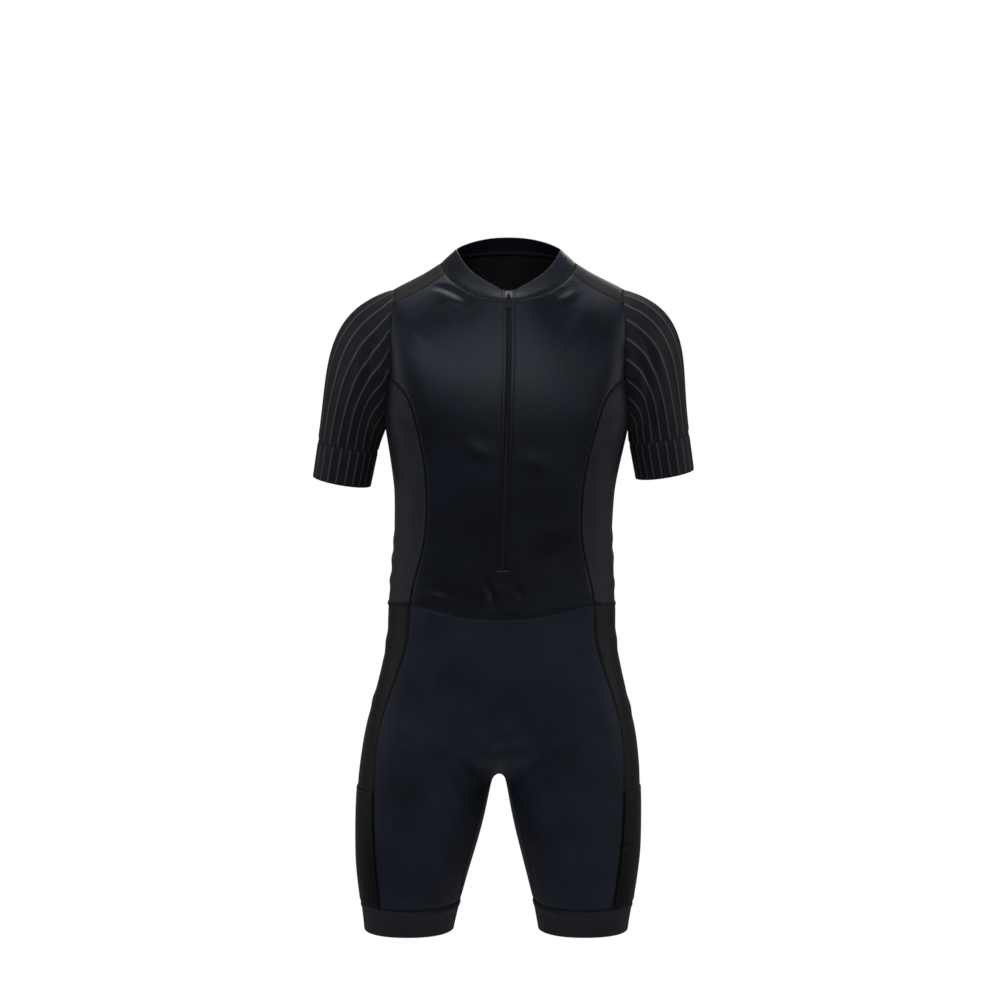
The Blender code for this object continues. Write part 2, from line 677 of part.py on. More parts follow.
def cuff_rows(seams, side, rows, between_ribs):
    turns = rib_turns(seams["turns"], between_ribs)
    made = []
    for t in np.linspace(0, 1, rows + 1):
        half = [a * (1 - t) + b * t for a, b in zip(CUFF_SEAM_HALF, CUFF_HEM_HALF)]
        made.append(arm_ring(turns, CUFF_LENGTH * (1 - t), half, side))
    return np.array(made)


def ring_normals(grid):
    """Outward normals of rings of points that run down a sleeve."""
    around = np.roll(grid, -1, axis=1) - np.roll(grid, 1, axis=1)
    down = np.gradient(grid, axis=0)
    normal = unit(np.cross(around, down))
    outwards = grid - grid.mean(axis=1, keepdims=True)
    return normal * np.sign(np.sum(normal * outwards, axis=(1, 2), keepdims=True))


def ribbed_tube(name, outer, inner, ridge_first, plain_start, cloth_material):
    """A sleeve or cuff: ribs raised in the outer points over a plain inside with half as many columns."""
    rows, columns = outer.shape[:2]
    relief = np.where(np.arange(columns) % 2 == (0 if ridge_first else 1), RIB_HEIGHT, -RIB_DEPTH)
    share = ease(np.arange(rows) / RIBS_START) if plain_start else np.ones(rows)
    outer_fold = fold_height(outer.reshape(-1, 3)).reshape(rows, -1, 1)
    inner_fold = fold_height(inner.reshape(-1, 3)).reshape(rows, -1, 1)
    outer = outer + ring_normals(outer) * ((share[:, None] * relief[None])[..., None] + outer_fold)
    inner = inner - ring_normals(inner) * (CLOTH - inner_fold)
    down = unit(inner[-1] - inner[-2]) * SEAM_GAP / 2
    outer_down = np.repeat(down, 2, axis=0)
    outer[-1] -= outer_down
    inner[-1] -= down
    if not plain_start:
        outer[0] += outer_down
        inner[0] += down
    bm = bmesh.new()
    out = [[bm.verts.new(p * MM) for p in ring] for ring in outer]
    inn = [[bm.verts.new(p * MM) for p in ring] for ring in inner]
    half = columns // 2
    for r in range(rows - 1):
        for k in range(columns):
            bm.faces.new((out[r][k], out[r + 1][k], out[r + 1][(k + 1) % columns], out[r][(k + 1) % columns]))
        for k in range(half):
            bm.faces.new((inn[r][k], inn[r][(k + 1) % half], inn[r + 1][(k + 1) % half], inn[r + 1][k]))
    for r in (0, rows - 1):
        for k in range(half):
            a, b, c = out[r][2 * k], out[r][2 * k + 1], out[r][(2 * k + 2) % columns]
            p, q = inn[r][k], inn[r][(k + 1) % half]
            for face in ((a, b, p), (b, q, p), (b, c, q)):
                bm.faces.new(face if r == 0 else face[::-1])
    return finish(name, bm, cloth_material)


# Sheets and walls


def quads_of(shape, reverse):
    rows, columns = shape
    index = np.arange(rows * columns).reshape(rows, columns)
    quads = np.stack([index[:-1, :-1], index[1:, :-1], index[1:, 1:], index[:-1, 1:]], axis=-1).reshape(-1, 4)
    return quads[:, ::-1] if reverse else quads


def weld(points, quads):
    """Points that coincide made one. Returns the points, the quads and where each old point went."""
    keys = np.round(points, 3)
    _, first, back = np.unique(keys, axis=0, return_index=True, return_inverse=True)
    back = back.reshape(-1)
    return points[first], back[quads], back


def sheet(blocks):
    """One sheet from several grids. A block is (grid, reverse)."""
    points, quads, count = [], [], 0
    for grid, reverse in blocks:
        points.append(grid.reshape(-1, 3))
        quads.append(quads_of(grid.shape[:2], reverse) + count)
        count += grid.shape[0] * grid.shape[1]
    points, quads, _ = weld(np.concatenate(points), np.concatenate(quads))
    return points, quads


def face_normals(points, quads):
    a, b, c, d = (points[quads[:, i]] for i in range(4))
    return np.cross(c - a, d - b) / 2


def skin_normals(sheets):
    """Normals of the whole skin at every sheet's points, shared across the seams."""
    names = list(sheets)
    counts = np.cumsum([0] + [len(sheets[name][0]) for name in names])
    points = np.concatenate([sheets[name][0] for name in names])
    quads = np.concatenate([sheets[name][1] + counts[i] for i, name in enumerate(names)])
    welded, quads, back = weld(points, quads)
    normals = np.zeros(welded.shape)
    each = face_normals(welded, quads)
    for corner in range(4):
        np.add.at(normals, quads[:, corner], each)
    normals = unit(normals)[back]
    return {name: normals[counts[i] : counts[i + 1]] for i, name in enumerate(names)}


def fold_height(points):
    """How far the largest folds lift or sink each point."""
    height = np.zeros(len(points))
    for row in FOLDS.values():
        fold = dict(zip(FOLD_COLUMNS, row))
        start, stop = np.array([fold["x0"], fold["z0"]]), np.array([fold["x1"], fold["z1"]])
        run = stop - start
        t = (points[:, [0, 2]] - start) @ run / (run @ run)
        off = np.linalg.norm(points[:, [0, 2]] - start - np.clip(t, 0, 1)[:, None] * run, axis=1)
        on_side = points[:, 1] < 0 if fold["side"] == "front" else points[:, 1] > 0
        taper = ease((t + 0.25) / 0.5) * ease((1.25 - t) / 0.5)
        height += fold["height"] * np.exp(-((off / fold["half_width"]) ** 2)) * taper * on_side
    return height


def rim_of(quads):
    """Directed edges round a sheet, with the cloth on their left."""
    edges = np.concatenate([quads[:, [i, (i + 1) % 4]] for i in range(4)])
    known = {tuple(e) for e in edges}
    return [(a, b) for a, b in map(tuple, edges) if (b, a) not in known]


def drawn_in(points, quads, normals, amount):
    """The sheet with its edges drawn in along the cloth, to leave the seam's gap."""
    move = np.zeros(points.shape)
    for a, b in rim_of(quads):
        along = unit(points[b] - points[a])
        for v in (a, b):
            move[v] += unit(np.cross(normals[v], along))
    size = np.linalg.norm(move, axis=1, keepdims=True)
    # Two edges that turn a corner need a longer step along its bisector
    length = np.where(size > 0, amount * 2 / np.maximum(size, 0.8), 0)
    return points + unit(move) * length


def wall(name, points, quads, normals, thickness, cloth_material, lift=0.0, gap=SEAM_GAP):
    """A piece of cloth as a closed wall, its outside lifted off the skin by lift."""
    points = drawn_in(points, quads, normals, gap / 2)
    outer = points + normals * np.reshape(lift, (-1, 1))
    inner = outer - normals * np.reshape(thickness, (-1, 1))
    bm = bmesh.new()
    out = [bm.verts.new(p * MM) for p in outer]
    inn = [bm.verts.new(p * MM) for p in inner]
    for quad in quads:
        bm.faces.new([out[i] for i in quad])
        bm.faces.new([inn[i] for i in quad[::-1]])
    # Two pieces that meet split the faces of their edges along the same diagonal, so twisted edges stay apart
    for a, b in rim_of(quads):
        if tuple(points[a][::-1]) > tuple(points[b][::-1]):
            bm.faces.new((out[b], out[a], inn[b]))
            bm.faces.new((out[a], inn[a], inn[b]))
        else:
            bm.faces.new((out[b], out[a], inn[a]))
            bm.faces.new((out[b], inn[a], inn[b]))
    return finish(name, bm, cloth_material)


def finish(name, bm, piece_material):
    bmesh.ops.recalc_face_normals(bm, faces=bm.faces)
    mesh = bpy.data.meshes.new(name)
    bm.to_mesh(mesh)
    bm.free()
    mesh.shade_smooth()
    mesh.set_sharp_from_angle(angle=math.radians(40))
    mesh.materials.append(piece_material)
    obj = bpy.data.objects.new(name, mesh)
    bpy.context.scene.collection.objects.link(obj)
    return obj


# Panels


def strip(one, other):
    """The narrow strip between the two halves' first columns."""
    return np.stack([one, other], axis=1)


def upper_sheets():
    left, right = body_seams(1), body_seams(-1)
    halves = ((left, 1), (right, -1))
    fronts = [front_half(seams, side) for seams, side in halves]
    backs = [back_half(seams, side) for seams, side in halves]
    collars = [collar_half(seams, side) for seams, side in halves]
    below_zip = strip(fronts[1][:2, 0], fronts[0][:2, 0])
    back_strip = strip(backs[0][:, 0], backs[1][:, 0])
    collar_strip = strip(collars[0][:, -1], collars[1][:, -1])
    sheets = {
        "front_panel": sheet([(fronts[0], True), (fronts[1], False), (below_zip, True)]),
        "side_panel_left": sheet([(side_body(left, 1), True)]),
        "side_panel_right": sheet([(side_body(right, -1), False)]),
        "back_panel": sheet(
            [
                (backs[0], False),
                (backs[1], True),
                (back_strip, True),
                (shoulder(left, 1), False),
                (shoulder(right, -1), True),
            ]
        ),
        "collar": sheet([(collars[0], True), (collars[1], False), (collar_strip, True)]),
    }
    return sheets, fronts, collars, left, right


def lower_sheets():
    levels = np.array(LEG_LEVELS, float)
    trunk_rows = slice(0, CROTCH_ROW + 1)
    leg_rows = slice(CROTCH_ROW, None)
    left, right = leg_blocks(levels, 1), leg_blocks(levels, -1)
    band_levels = np.linspace(BAND_Z, HEM_Z, BAND_ROWS + 1)
    bands = {1: leg_blocks(band_levels, 1), -1: leg_blocks(band_levels, -1)}
    front_strip = strip(right["front"][trunk_rows, 0], left["front"][trunk_rows, 0])
    back_strip = strip(left["back"][trunk_rows, -1], right["back"][trunk_rows, -1])
    saddle = np.stack([right["inner"][CROTCH_ROW], left["inner"][CROTCH_ROW]])
    sheets = {
        "shorts_front": sheet([(left["front"], False), (right["front"], True), (front_strip, False)]),
        "shorts_seat": sheet([(left["back"], False), (right["back"], True), (back_strip, False)]),
        "thigh_side_left": sheet([(left["side"], False)]),
        "thigh_side_right": sheet([(right["side"], True)]),
        "inner_leg_panel": sheet(
            [(left["inner"][leg_rows], True), (right["inner"][leg_rows], False), (saddle, True)]
        ),
    }
    for side, name in ((1, "leg_band_left"), (-1, "leg_band_right")):
        parts = ("front", "side", "back", "inner")
        sheets[name] = sheet([(bands[side][part], (side < 0) != (part == "inner")) for part in parts])
    pockets = {
        "pocket_left": sheet([(left["side"][POCKET_ROW:], False)]),
        "pocket_right": sheet([(right["side"][POCKET_ROW:], True)]),
    }
    return sheets, pockets


def make_walls(sheets, pockets, cloth):
    normals = skin_normals(sheets)
    known = {}
    for name, (points, _) in sheets.items():
        for point, normal in zip(points, normals[name]):
            known[tuple(np.round(point, 3))] = normal
    thickness = {"collar": COLLAR_CLOTH, "leg_band_left": BAND_CLOTH, "leg_band_right": BAND_CLOTH}
    for name, (points, quads) in sheets.items():
        folded = points + normals[name] * fold_height(points)[:, None]
        wall(name, folded, quads, normals[name], thickness.get(name, CLOTH), cloth[name])
    for name, (points, quads) in pockets.items():
        on_skin = np.array([known[tuple(np.round(point, 3))] for point in points])
        lift = SEAM_GAP + POCKET_CLOTH
        # The pocket stops a little short of the leg band's seam and of the side seams
        wall(name, points, quads, on_skin, POCKET_CLOTH, cloth[name], lift=lift, gap=4 * SEAM_GAP)


# Zip


def zip_line(front, collar):
    """Points of the slot's left edge, from the zip's lower end to the collar's top."""
    return np.concatenate([front[1:, 0], collar[1:, 0]])


def zip_tape(name, edge, side, tape_material):
    """Half of the zip: a flat tape behind the panel's edge, and its row of teeth as one ridge."""
    normal = unit(np.cross([1.0, 0, 0], np.gradient(edge, axis=0)))
    centre = edge[:, 0] - HALF_STRIP
    across = (TEETH_APART / 2, CHAIN_HALF, CHAIN_HALF + 0.3, TAPE_HALF)
    tape_front = CLOTH + TAPE_BEHIND_PANEL
    behind = (CHAIN_FRONT, CHAIN_FRONT, tape_front, tape_front)
    back = tape_front + TAPE_THICKNESS
    grid, lift, thickness = [], [], []
    for offset, depth in zip(across, behind):
        grid.append(np.stack([centre + side * offset, edge[:, 1], edge[:, 2]], axis=-1))
        lift.append(np.full(len(edge), -depth))
        thickness.append(np.full(len(edge), back - depth))
    grid = np.stack(grid, axis=1)
    points = grid.reshape(-1, 3)
    quads = quads_of(grid.shape[:2], side > 0)
    normals = np.repeat(normal, len(across), axis=0)
    return wall(
        name, points, quads, normals, np.stack(thickness, axis=1).ravel(), tape_material,
        lift=np.stack(lift, axis=1).ravel(), gap=0.0,
    )


def box(size, centre):
    bm = bmesh.new()
    bmesh.ops.create_cube(bm, size=1.0)
    bmesh.ops.scale(bm, vec=Vector(size) * MM, verts=bm.verts)
    bmesh.ops.translate(bm, vec=Vector(centre) * MM, verts=bm.verts)
    return bm


def helper(name, bm):
    """A cutter or an added shape that is no piece of its own."""
    mesh = bpy.data.meshes.new(name)
    bm.to_mesh(mesh)
    bm.free()
    obj = bpy.data.objects.new(name, mesh)
    bpy.context.scene.collection.objects.link(obj)
    obj.hide_render = True
    obj.display_type = "WIRE"
    return obj


def combine(obj, other, operation):
    modifier = obj.modifiers.new(operation.lower(), "BOOLEAN")
    modifier.operation = operation
    modifier.object = other
    modifier.solver = "EXACT"


def soften(obj, width, segments=2):
    modifier = obj.modifiers.new("rounded_edges", "BEVEL")
    modifier.width = width * MM
    modifier.segments = segments
    modifier.limit_method = "ANGLE"
    modifier.angle_limit = math.radians(40)


def bail_shape():
    """The bail's arch from the side, extruded across the slider. Y runs up the zip and Z out of it."""
    floor = SLIDER["clear"] + SLIDER["plate"]
    half, thick = BAIL["half_length"], BAIL["thickness"]
    bm = bmesh.new()
    turns = np.linspace(0, math.pi, BAIL["steps"] + 1)

    def arch_line(half_length, height):
        return [(half_length * math.cos(a), height * max(math.sin(a), 0) ** BAIL["squareness"]) for a in turns]

    outer = arch_line(half + thick, BAIL["window"] + thick)
    inner = arch_line(half, BAIL["window"])[::-1]
    foot = -BAIL["into_plate"]
    outline = [(half + thick, foot), *outer, (-half - thick, foot), (-half, foot), *inner, (half, foot)]
    width = BAIL["width"]
    verts = [bm.verts.new(Vector((-width / 2, y, floor + z)) * MM) for y, z in outline]
    face = bm.faces.new(verts)
    moved = bmesh.ops.extrude_face_region(bm, geom=[face])["geom"]
    bmesh.ops.translate(
        bm, vec=Vector((width * MM, 0, 0)), verts=[v for v in moved if isinstance(v, bmesh.types.BMVert)]
    )
    bmesh.ops.remove_doubles(bm, verts=bm.verts, dist=1e-7)
    bmesh.ops.recalc_face_normals(bm, faces=bm.faces)
    return bm


def slider_frame(edge):
    """Where the slider sits: the place on the zip, the way up it and the way out of it."""
    up = unit(edge[-1] - edge[-3])
    out = unit(np.cross(np.array([1.0, 0, 0]), up))
    out = out if out[1] < 0 else -out
    centre = (edge[-1] + edge[-3]) / 2 - np.array([HALF_STRIP, 0, 0])
    return centre, up, out


def placed(obj, centre, up, out):
    across = np.cross(up, out)
    rotation = Matrix((across, up, out)).transposed().to_4x4()
    obj.matrix_world = Matrix.Translation(Vector(centre) * MM) @ rotation
    return obj


def make_slider(edge, metal):
    centre, up, out = slider_frame(edge)
    plate_middle = SLIDER["clear"] + SLIDER["plate"] / 2
    plate = box((SLIDER["width"], SLIDER["length"], SLIDER["plate"]), (0, 0, plate_middle))
    slider = finish("zip_slider", plate, metal)
    bail = helper("bail", bail_shape())
    for obj in (slider, bail):
        placed(obj, centre, up, out)
    combine(slider, bail, "UNION")
    return slider


def make_pull(edge, metal):
    """The pull: a bar through the bail, two arms past it and a flat tab, hanging over the neckline's edge."""
    centre, up, out = slider_frame(edge)
    pin_height = SLIDER["clear"] + SLIDER["plate"] + PIN_ABOVE_PLATE
    pin = centre + out * pin_height - up * PIN_BELOW_MIDDLE
    droop = math.radians(PULL_DROOP)
    down = -up * math.cos(droop) - out * math.sin(droop)
    face = -up * math.sin(droop) + out * math.cos(droop)
    half_bar = PULL["bar"] / 2
    plate = box((PULL["width"], PULL["length"], PULL["thickness"]), (0, half_bar - PULL["length"] / 2, 0))
    pull = finish("zip_pull", plate, metal)
    window_size = (PULL["width"] - 2 * PULL["arm"], PULL["loop"], 4 * PULL["thickness"])
    cutter = helper("pull_window", box(window_size, (0, -half_bar - PULL["loop"] / 2, 0)))
    for obj in (pull, cutter):
        placed(obj, pin, -down, face)
    soften(pull, 0.35, 1)
    combine(pull, cutter, "DIFFERENCE")
    return pull


def main():
    clear_scene()
    body = material("body_cloth", (0.012, 0.014, 0.020), 0.42)
    shoulder_mesh = material("shoulder_mesh", (0.020, 0.014, 0.015), 0.55)
    ribbed = material("sleeve_rib", (0.013, 0.014, 0.017), 0.5)
    shorts = material("shorts_cloth", (0.011, 0.014, 0.022), 0.6)
    glossy = material("thigh_side_cloth", (0.010, 0.010, 0.012), 0.36)
    band = material("leg_band_cloth", (0.014, 0.013, 0.017), 0.55)
    tape = material("zip_tape", (0.010, 0.010, 0.012), 0.6)
    metal = material("zip_metal", (0.015, 0.015, 0.017), 0.35, 0.6)
    cloth = {
        "front_panel": body,
        "side_panel_left": body,
        "side_panel_right": body,
        "back_panel": shoulder_mesh,
        "collar": body,
        "shorts_front": shorts,
        "shorts_seat": shorts,
        "thigh_side_left": glossy,
        "thigh_side_right": glossy,
        "inner_leg_panel": shorts,
        "leg_band_left": band,
        "leg_band_right": band,
        "pocket_left": glossy,
        "pocket_right": glossy,
    }
    upper, fronts, collars, left, right = upper_sheets()
    lower, pockets = lower_sheets()
    make_walls({**upper, **lower}, pockets, cloth)
    for side, seams, name in ((1, left, "left"), (-1, right, "right")):
        outer, inner = (sleeve_rows(seams, side, SLEEVE_ROWS, ribs) for ribs in (True, False))
        ribbed_tube(f"sleeve_{name}", outer, inner, True, True, ribbed)
        outer, inner = (cuff_rows(seams, side, CUFF_ROWS, ribs) for ribs in (True, False))
        ribbed_tube(f"cuff_{name}", outer, inner, False, False, ribbed)
    edge = zip_line(fronts[0], collars[0])
    zip_tape("zip_tape_left", edge, 1, tape)
    zip_tape("zip_tape_right", edge, -1, tape)
    make_slider(edge, metal)
    make_pull(edge, metal)


main()
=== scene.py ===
# %% [markdown]
# # A short-sleeved race suit with a front zip
#
# The suit is sewn from thin stretch cloth and keeps the shape it has when it is worn. The packed
# model holds every panel as a plain closed wall. This lesson gives each panel its real finish: a
# smooth outside, creases, ribs, sewn seams, a coil zip and cloth that looks knitted. Everything is
# in metres, +Z is up and the front of the suit faces -Y.

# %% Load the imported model
import heapq
import math

import bmesh
import bpy
import numpy as np
from mathutils import Matrix, Vector, noise
from mathutils.bvhtree import BVHTree
from mathutils.kdtree import KDTree


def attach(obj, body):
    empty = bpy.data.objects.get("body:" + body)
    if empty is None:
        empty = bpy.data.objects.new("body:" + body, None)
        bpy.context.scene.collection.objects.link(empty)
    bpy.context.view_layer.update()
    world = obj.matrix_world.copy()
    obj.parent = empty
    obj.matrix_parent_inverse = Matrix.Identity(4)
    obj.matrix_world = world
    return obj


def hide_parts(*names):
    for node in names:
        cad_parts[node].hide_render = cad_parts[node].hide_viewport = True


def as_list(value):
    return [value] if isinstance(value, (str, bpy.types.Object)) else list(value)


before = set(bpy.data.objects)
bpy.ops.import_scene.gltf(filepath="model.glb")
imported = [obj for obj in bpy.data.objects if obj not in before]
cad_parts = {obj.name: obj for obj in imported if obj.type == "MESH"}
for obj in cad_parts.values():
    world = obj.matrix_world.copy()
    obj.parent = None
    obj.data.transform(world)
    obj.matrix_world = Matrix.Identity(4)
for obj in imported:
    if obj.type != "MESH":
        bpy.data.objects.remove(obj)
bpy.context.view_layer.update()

MM = 0.001

# %% [markdown]
# ## Helpers
#
# Blender edits a mesh as a bmesh. The first helpers open a mesh for that, write it back, add one
# bmesh to another and make an object. The last two find what is nearest to a point, by a search
# tree over points or on a set of straight edges.


# %% Open, keep, pour and search
def opened(mesh):
    """A bmesh of a mesh."""
    bm = bmesh.new()
    bm.from_mesh(mesh)
    return bm


def keep(bm, mesh):
    """Writes a bmesh into a mesh and frees it."""
    bm.to_mesh(mesh)
    bm.free()
    return mesh


def pour(part, whole):
    """Adds a bmesh to a bigger one and frees it."""
    carrier = keep(part, bpy.data.meshes.new("part"))
    whole.from_mesh(carrier)
    bpy.data.meshes.remove(carrier)


def make_object(name, content):
    obj = bpy.data.objects.new(name, content)
    bpy.context.scene.collection.objects.link(obj)
    return obj


def search_tree(points):
    tree = KDTree(len(points))
    for i, point in enumerate(points):
        tree.insert(point, i)
    tree.balance()
    return tree


def nearest_on(edges, point):
    """The nearest place to a point on a set of straight edges."""
    places = []
    for start, end in edges:
        run = end - start
        share = min(max((point - start).dot(run) / run.length_squared, 0), 1)
        places.append(start + run * share)
    return min(places, key=lambda place: (place - point).length)


# %% [markdown]
# ## Camera
#
# The photograph looks at the suit from 3.6 m, from a little above its middle. Its frame is 1.36 m
# wide where the suit is, and that gives the lens. The camera only needs a place, a direction to
# look in and this lens.

# %% Camera at the photograph's angle
EYE = Vector((-0.0095, -3.600, -0.117))
AIM = Vector((-0.0095, 0.0, -0.321))
FRAME_WIDTH = 1.36


def aim(obj, place, target):
    obj.location = place
    obj.rotation_euler = (Vector(target) - Vector(place)).to_track_quat("-Z", "Y").to_euler()


lens = bpy.data.cameras.new("camera")
camera = make_object("camera", lens)
aim(camera, EYE, AIM)
lens.lens = lens.sensor_width * (AIM - EYE).length / FRAME_WIDTH
bpy.context.scene.camera = camera
print("lens", round(lens.lens, 1), "mm")

# %% [markdown]
# ## Studio
#
# Black cloth is seen almost only by what it mirrors, so the lights are large and soft. One box
# stands in front above the camera and a dim one fills beside it. Two tall ones stand at the sides
# and draw a sheen along the side panels and sleeves, one hangs overhead and one stands behind. The
# walls are pale. The cloth mirrors them dimmer than the camera sees them, as it would in a deep
# studio, so the black stays black.

# %% Lights, walls and floor
scene = bpy.context.scene
scene.view_settings.view_transform = "Standard"

LIGHTS = {
    # name: (place, target, width, height, watts)
    "front_box": ((-0.9, -3.0, 1.5), (0.0, 0.0, -0.3), 1.1, 1.3, 33),
    "front_fill": ((1.3, -3.2, 0.4), (0.0, 0.0, -0.5), 0.8, 1.6, 12),
    "left_strip": ((1.9, 0.1, 0.1), (0.1, 0.0, -0.4), 0.5, 2.0, 9),
    "right_strip": ((-1.9, 0.1, 0.1), (-0.1, 0.0, -0.4), 0.5, 2.0, 8),
    "overhead": ((0.0, 0.3, 2.2), (0.0, 0.0, -0.3), 1.4, 1.4, 30),
    "behind": ((0.4, 3.0, 1.0), (0.0, 0.0, -0.4), 1.8, 1.8, 28),
}
for name, (place, target, width, height, watts) in LIGHTS.items():
    light = bpy.data.lights.new(name, "AREA")
    light.shape = "RECTANGLE"
    light.size, light.size_y = width, height
    light.energy = watts
    aim(make_object(name, light), place, target)

WALLS_SEEN = 1.0
WALLS_MIRRORED = 0.13
world = bpy.data.worlds.new("studio_walls")
scene.world = world
world.use_nodes = True
walls = world.node_tree
background = walls.nodes["Background"]
background.inputs["Color"].default_value = (1.0, 1.0, 1.0, 1.0)
ray = walls.nodes.new("ShaderNodeLightPath")
level = walls.nodes.new("ShaderNodeMapRange")
level.inputs["To Min"].default_value = WALLS_MIRRORED
level.inputs["To Max"].default_value = WALLS_SEEN
walls.links.new(ray.outputs["Is Camera Ray"], level.inputs["Value"])
walls.links.new(level.outputs["Result"], background.inputs["Strength"])

FLOOR_Z = -1.5
FLOOR_RADIUS = 1.45
bm = bmesh.new()
bmesh.ops.create_circle(bm, cap_ends=True, segments=96, radius=FLOOR_RADIUS)
bmesh.ops.translate(bm, vec=(0, 0, FLOOR_Z), verts=bm.verts)
floor = make_object("floor", keep(bm, bpy.data.meshes.new("floor")))
print("lights:", len(LIGHTS), "floor at", FLOOR_Z)

# %% [markdown]
# ## Shader maths as Python
#
# A finish is easier to read as an expression than as a web of nodes. `Field` wraps one socket, so
# that `1 - mask` or `a * b` adds the Math node that does it. `Finish` is one material, and its
# `node` method adds any other node from its type, its settings and its inputs.


# %% Fields and finishes
class Field:
    """One value that varies over a surface."""

    def __init__(self, finish, socket):
        self.finish, self.socket = finish, socket

    def maths(self, operation, first, second):
        return self.finish.node("Math", {"operation": operation}, {0: first, 1: second})

    def __add__(self, other):
        return self.maths("ADD", self, other)

    def __radd__(self, other):
        return self.maths("ADD", other, self)

    def __sub__(self, other):
        return self.maths("SUBTRACT", self, other)

    def __rsub__(self, other):
        return self.maths("SUBTRACT", other, self)

    def __mul__(self, other):
        return self.maths("MULTIPLY", self, other)

    def __rmul__(self, other):
        return self.maths("MULTIPLY", other, self)


class Finish:
    """One material on the Principled shader."""

    def __init__(self, name):
        self.material = bpy.data.materials.new(name)
        self.material.use_nodes = True
        self.tree = self.material.node_tree
        self.shader = self.tree.nodes["Principled BSDF"]

    def node(self, kind, settings=None, inputs=None, output=0):
        made = self.tree.nodes.new("ShaderNode" + kind)
        for key, value in (settings or {}).items():
            if key == "stops":
                for element, (at, colour) in zip(made.color_ramp.elements, value):
                    element.position, element.color = at, (*colour, 1.0)
            else:
                setattr(made, key, value)
        for key, value in (inputs or {}).items():
            self.set(made.inputs[key], value)
        return Field(self, made.outputs[output])

    def set(self, socket, value):
        if isinstance(value, Field):
            self.tree.links.new(value.socket, socket)
        else:
            socket.default_value = value

    def wear(self, **values):
        """Sets the shader's own sockets; underscores in a name stand for spaces."""
        for name, value in values.items():
            self.set(self.shader.inputs[name.replace("_", " ").title().replace("Ior", "IOR")], value)
        return self

    def blend(self, mask, first, second):
        """Colour first where mask is 0 and second where it is 1."""
        inputs = {0: mask, 6: (*first, 1.0), 7: (*second, 1.0)}
        return self.node("Mix", {"data_type": "RGBA"}, inputs, output=2)

    def range(self, value, low, high, to_low=0.0, to_high=1.0):
        inputs = {"Value": value, "From Min": low, "From Max": high, "To Min": to_low, "To Max": to_high}
        return self.node("MapRange", {"interpolation_type": "SMOOTHSTEP"}, inputs)

    def place(self):
        return self.node("TexCoord", output="Object")

    def cloth_place(self):
        """Metres across and along the cloth, from the piece's own UV map."""
        return self.node("UVMap", {"uv_map": "cloth"})

    def attribute(self, name):
        return self.node("Attribute", {"attribute_name": name}, output="Fac")

    def noise(self, place, size, detail=2.0):
        return self.node("TexNoise", None, {"Vector": place, "Scale": 1 / size, "Detail": detail})

    def waves(self, place, size, direction, profile="SIN"):
        """Even stripes, size metres apart. A wave texture repeats every 2 pi / 20 units of its scale."""
        settings = {"bands_direction": direction, "wave_profile": profile}
        return self.node("TexWave", settings, {"Vector": place, "Scale": math.pi / 10 / size})

    def bump(self, height, strength, distance):
        return self.node("Bump", None, {"Height": height, "Strength": strength, "Distance": distance})


# %% [markdown]
# ## Floor finish
#
# The floor is the plain pale sheet that the wearer would stand on. Its colour fades into the walls
# towards its edge, so that no horizon cuts through a picture taken from above.

# %% Pale floor
floor_finish = Finish("pale_floor")
place = {0: floor_finish.place()}
from_middle = floor_finish.node("VectorMath", {"operation": "LENGTH"}, place, output="Value")
shown = floor_finish.range(from_middle, -FLOOR_Z, math.hypot(FLOOR_Z, FLOOR_RADIUS), 1.0, 0.0)
floor_finish.wear(base_color=(0.86, 0.86, 0.87, 1.0), roughness=0.9, alpha=shown)
floor.data.materials.append(floor_finish.material)
print("floor finish:", len(floor_finish.tree.nodes), "nodes")

# %% [markdown]
# ## The outside of a panel
#
# Each packed panel is a closed wall of triangles: an outer side, an inner side and a thin rim. A
# fine finish starts from the outer side alone. The wall is sharp only along its rim, so its faces
# fall into groups there, and the group that looks away from the body's middle lines is the outer
# side. Smooth subdivision needs quads. Every border edge is surely the side of a quad, so the
# triangles pair up from the border inwards, the surest and squarest pair first.

# %% Find the outer side
RIM_ANGLE = math.radians(60)
BODY_LINES = [
    # trunk, left leg, right leg, left arm, right arm
    (Vector((0.0, 0.0, 0.03)), Vector((-0.005, 0.0, -0.66))),
    (Vector((0.11, 0.0, -0.70)), Vector((0.105, 0.0, -0.92))),
    (Vector((-0.13, 0.0, -0.70)), Vector((-0.13, 0.0, -0.92))),
    (Vector((0.175, 0.0, -0.10)), Vector((0.218, 0.011, -0.30))),
    (Vector((-0.175, 0.0, -0.10)), Vector((-0.228, 0.011, -0.31))),
]


def away_from_body(point):
    """Direction from the nearest of the body's middle lines to a point."""
    return (point - nearest_on(BODY_LINES, point)).normalized()


def regions(faces):
    """Groups of faces that meet along edges that aren't sharp."""
    left, groups = set(faces), []
    while left:
        group, waiting = set(), [left.pop()]
        while waiting:
            face = waiting.pop()
            group.add(face)
            for edge in face.edges:
                for other in edge.link_faces:
                    if other in left and face.normal.angle(other.normal, 0) < RIM_ANGLE:
                        left.remove(other)
                        waiting.append(other)
        groups.append(group)
    return groups


def squareness(edge):
    """How far the corners are from square in the quad that two triangles make across an edge."""
    tips = [next(v for v in face.verts if v not in edge.verts) for face in edge.link_faces]
    ring = [edge.verts[0].co, tips[0].co, edge.verts[1].co, tips[1].co]
    corners = [(ring[i - 1] - ring[i]).angle(ring[(i + 1) % 4] - ring[i]) for i in range(4)]
    return max(abs(corner - math.pi / 2) for corner in corners)


BORDER_HELPS = 0.5
FORCED_HELPS = 5


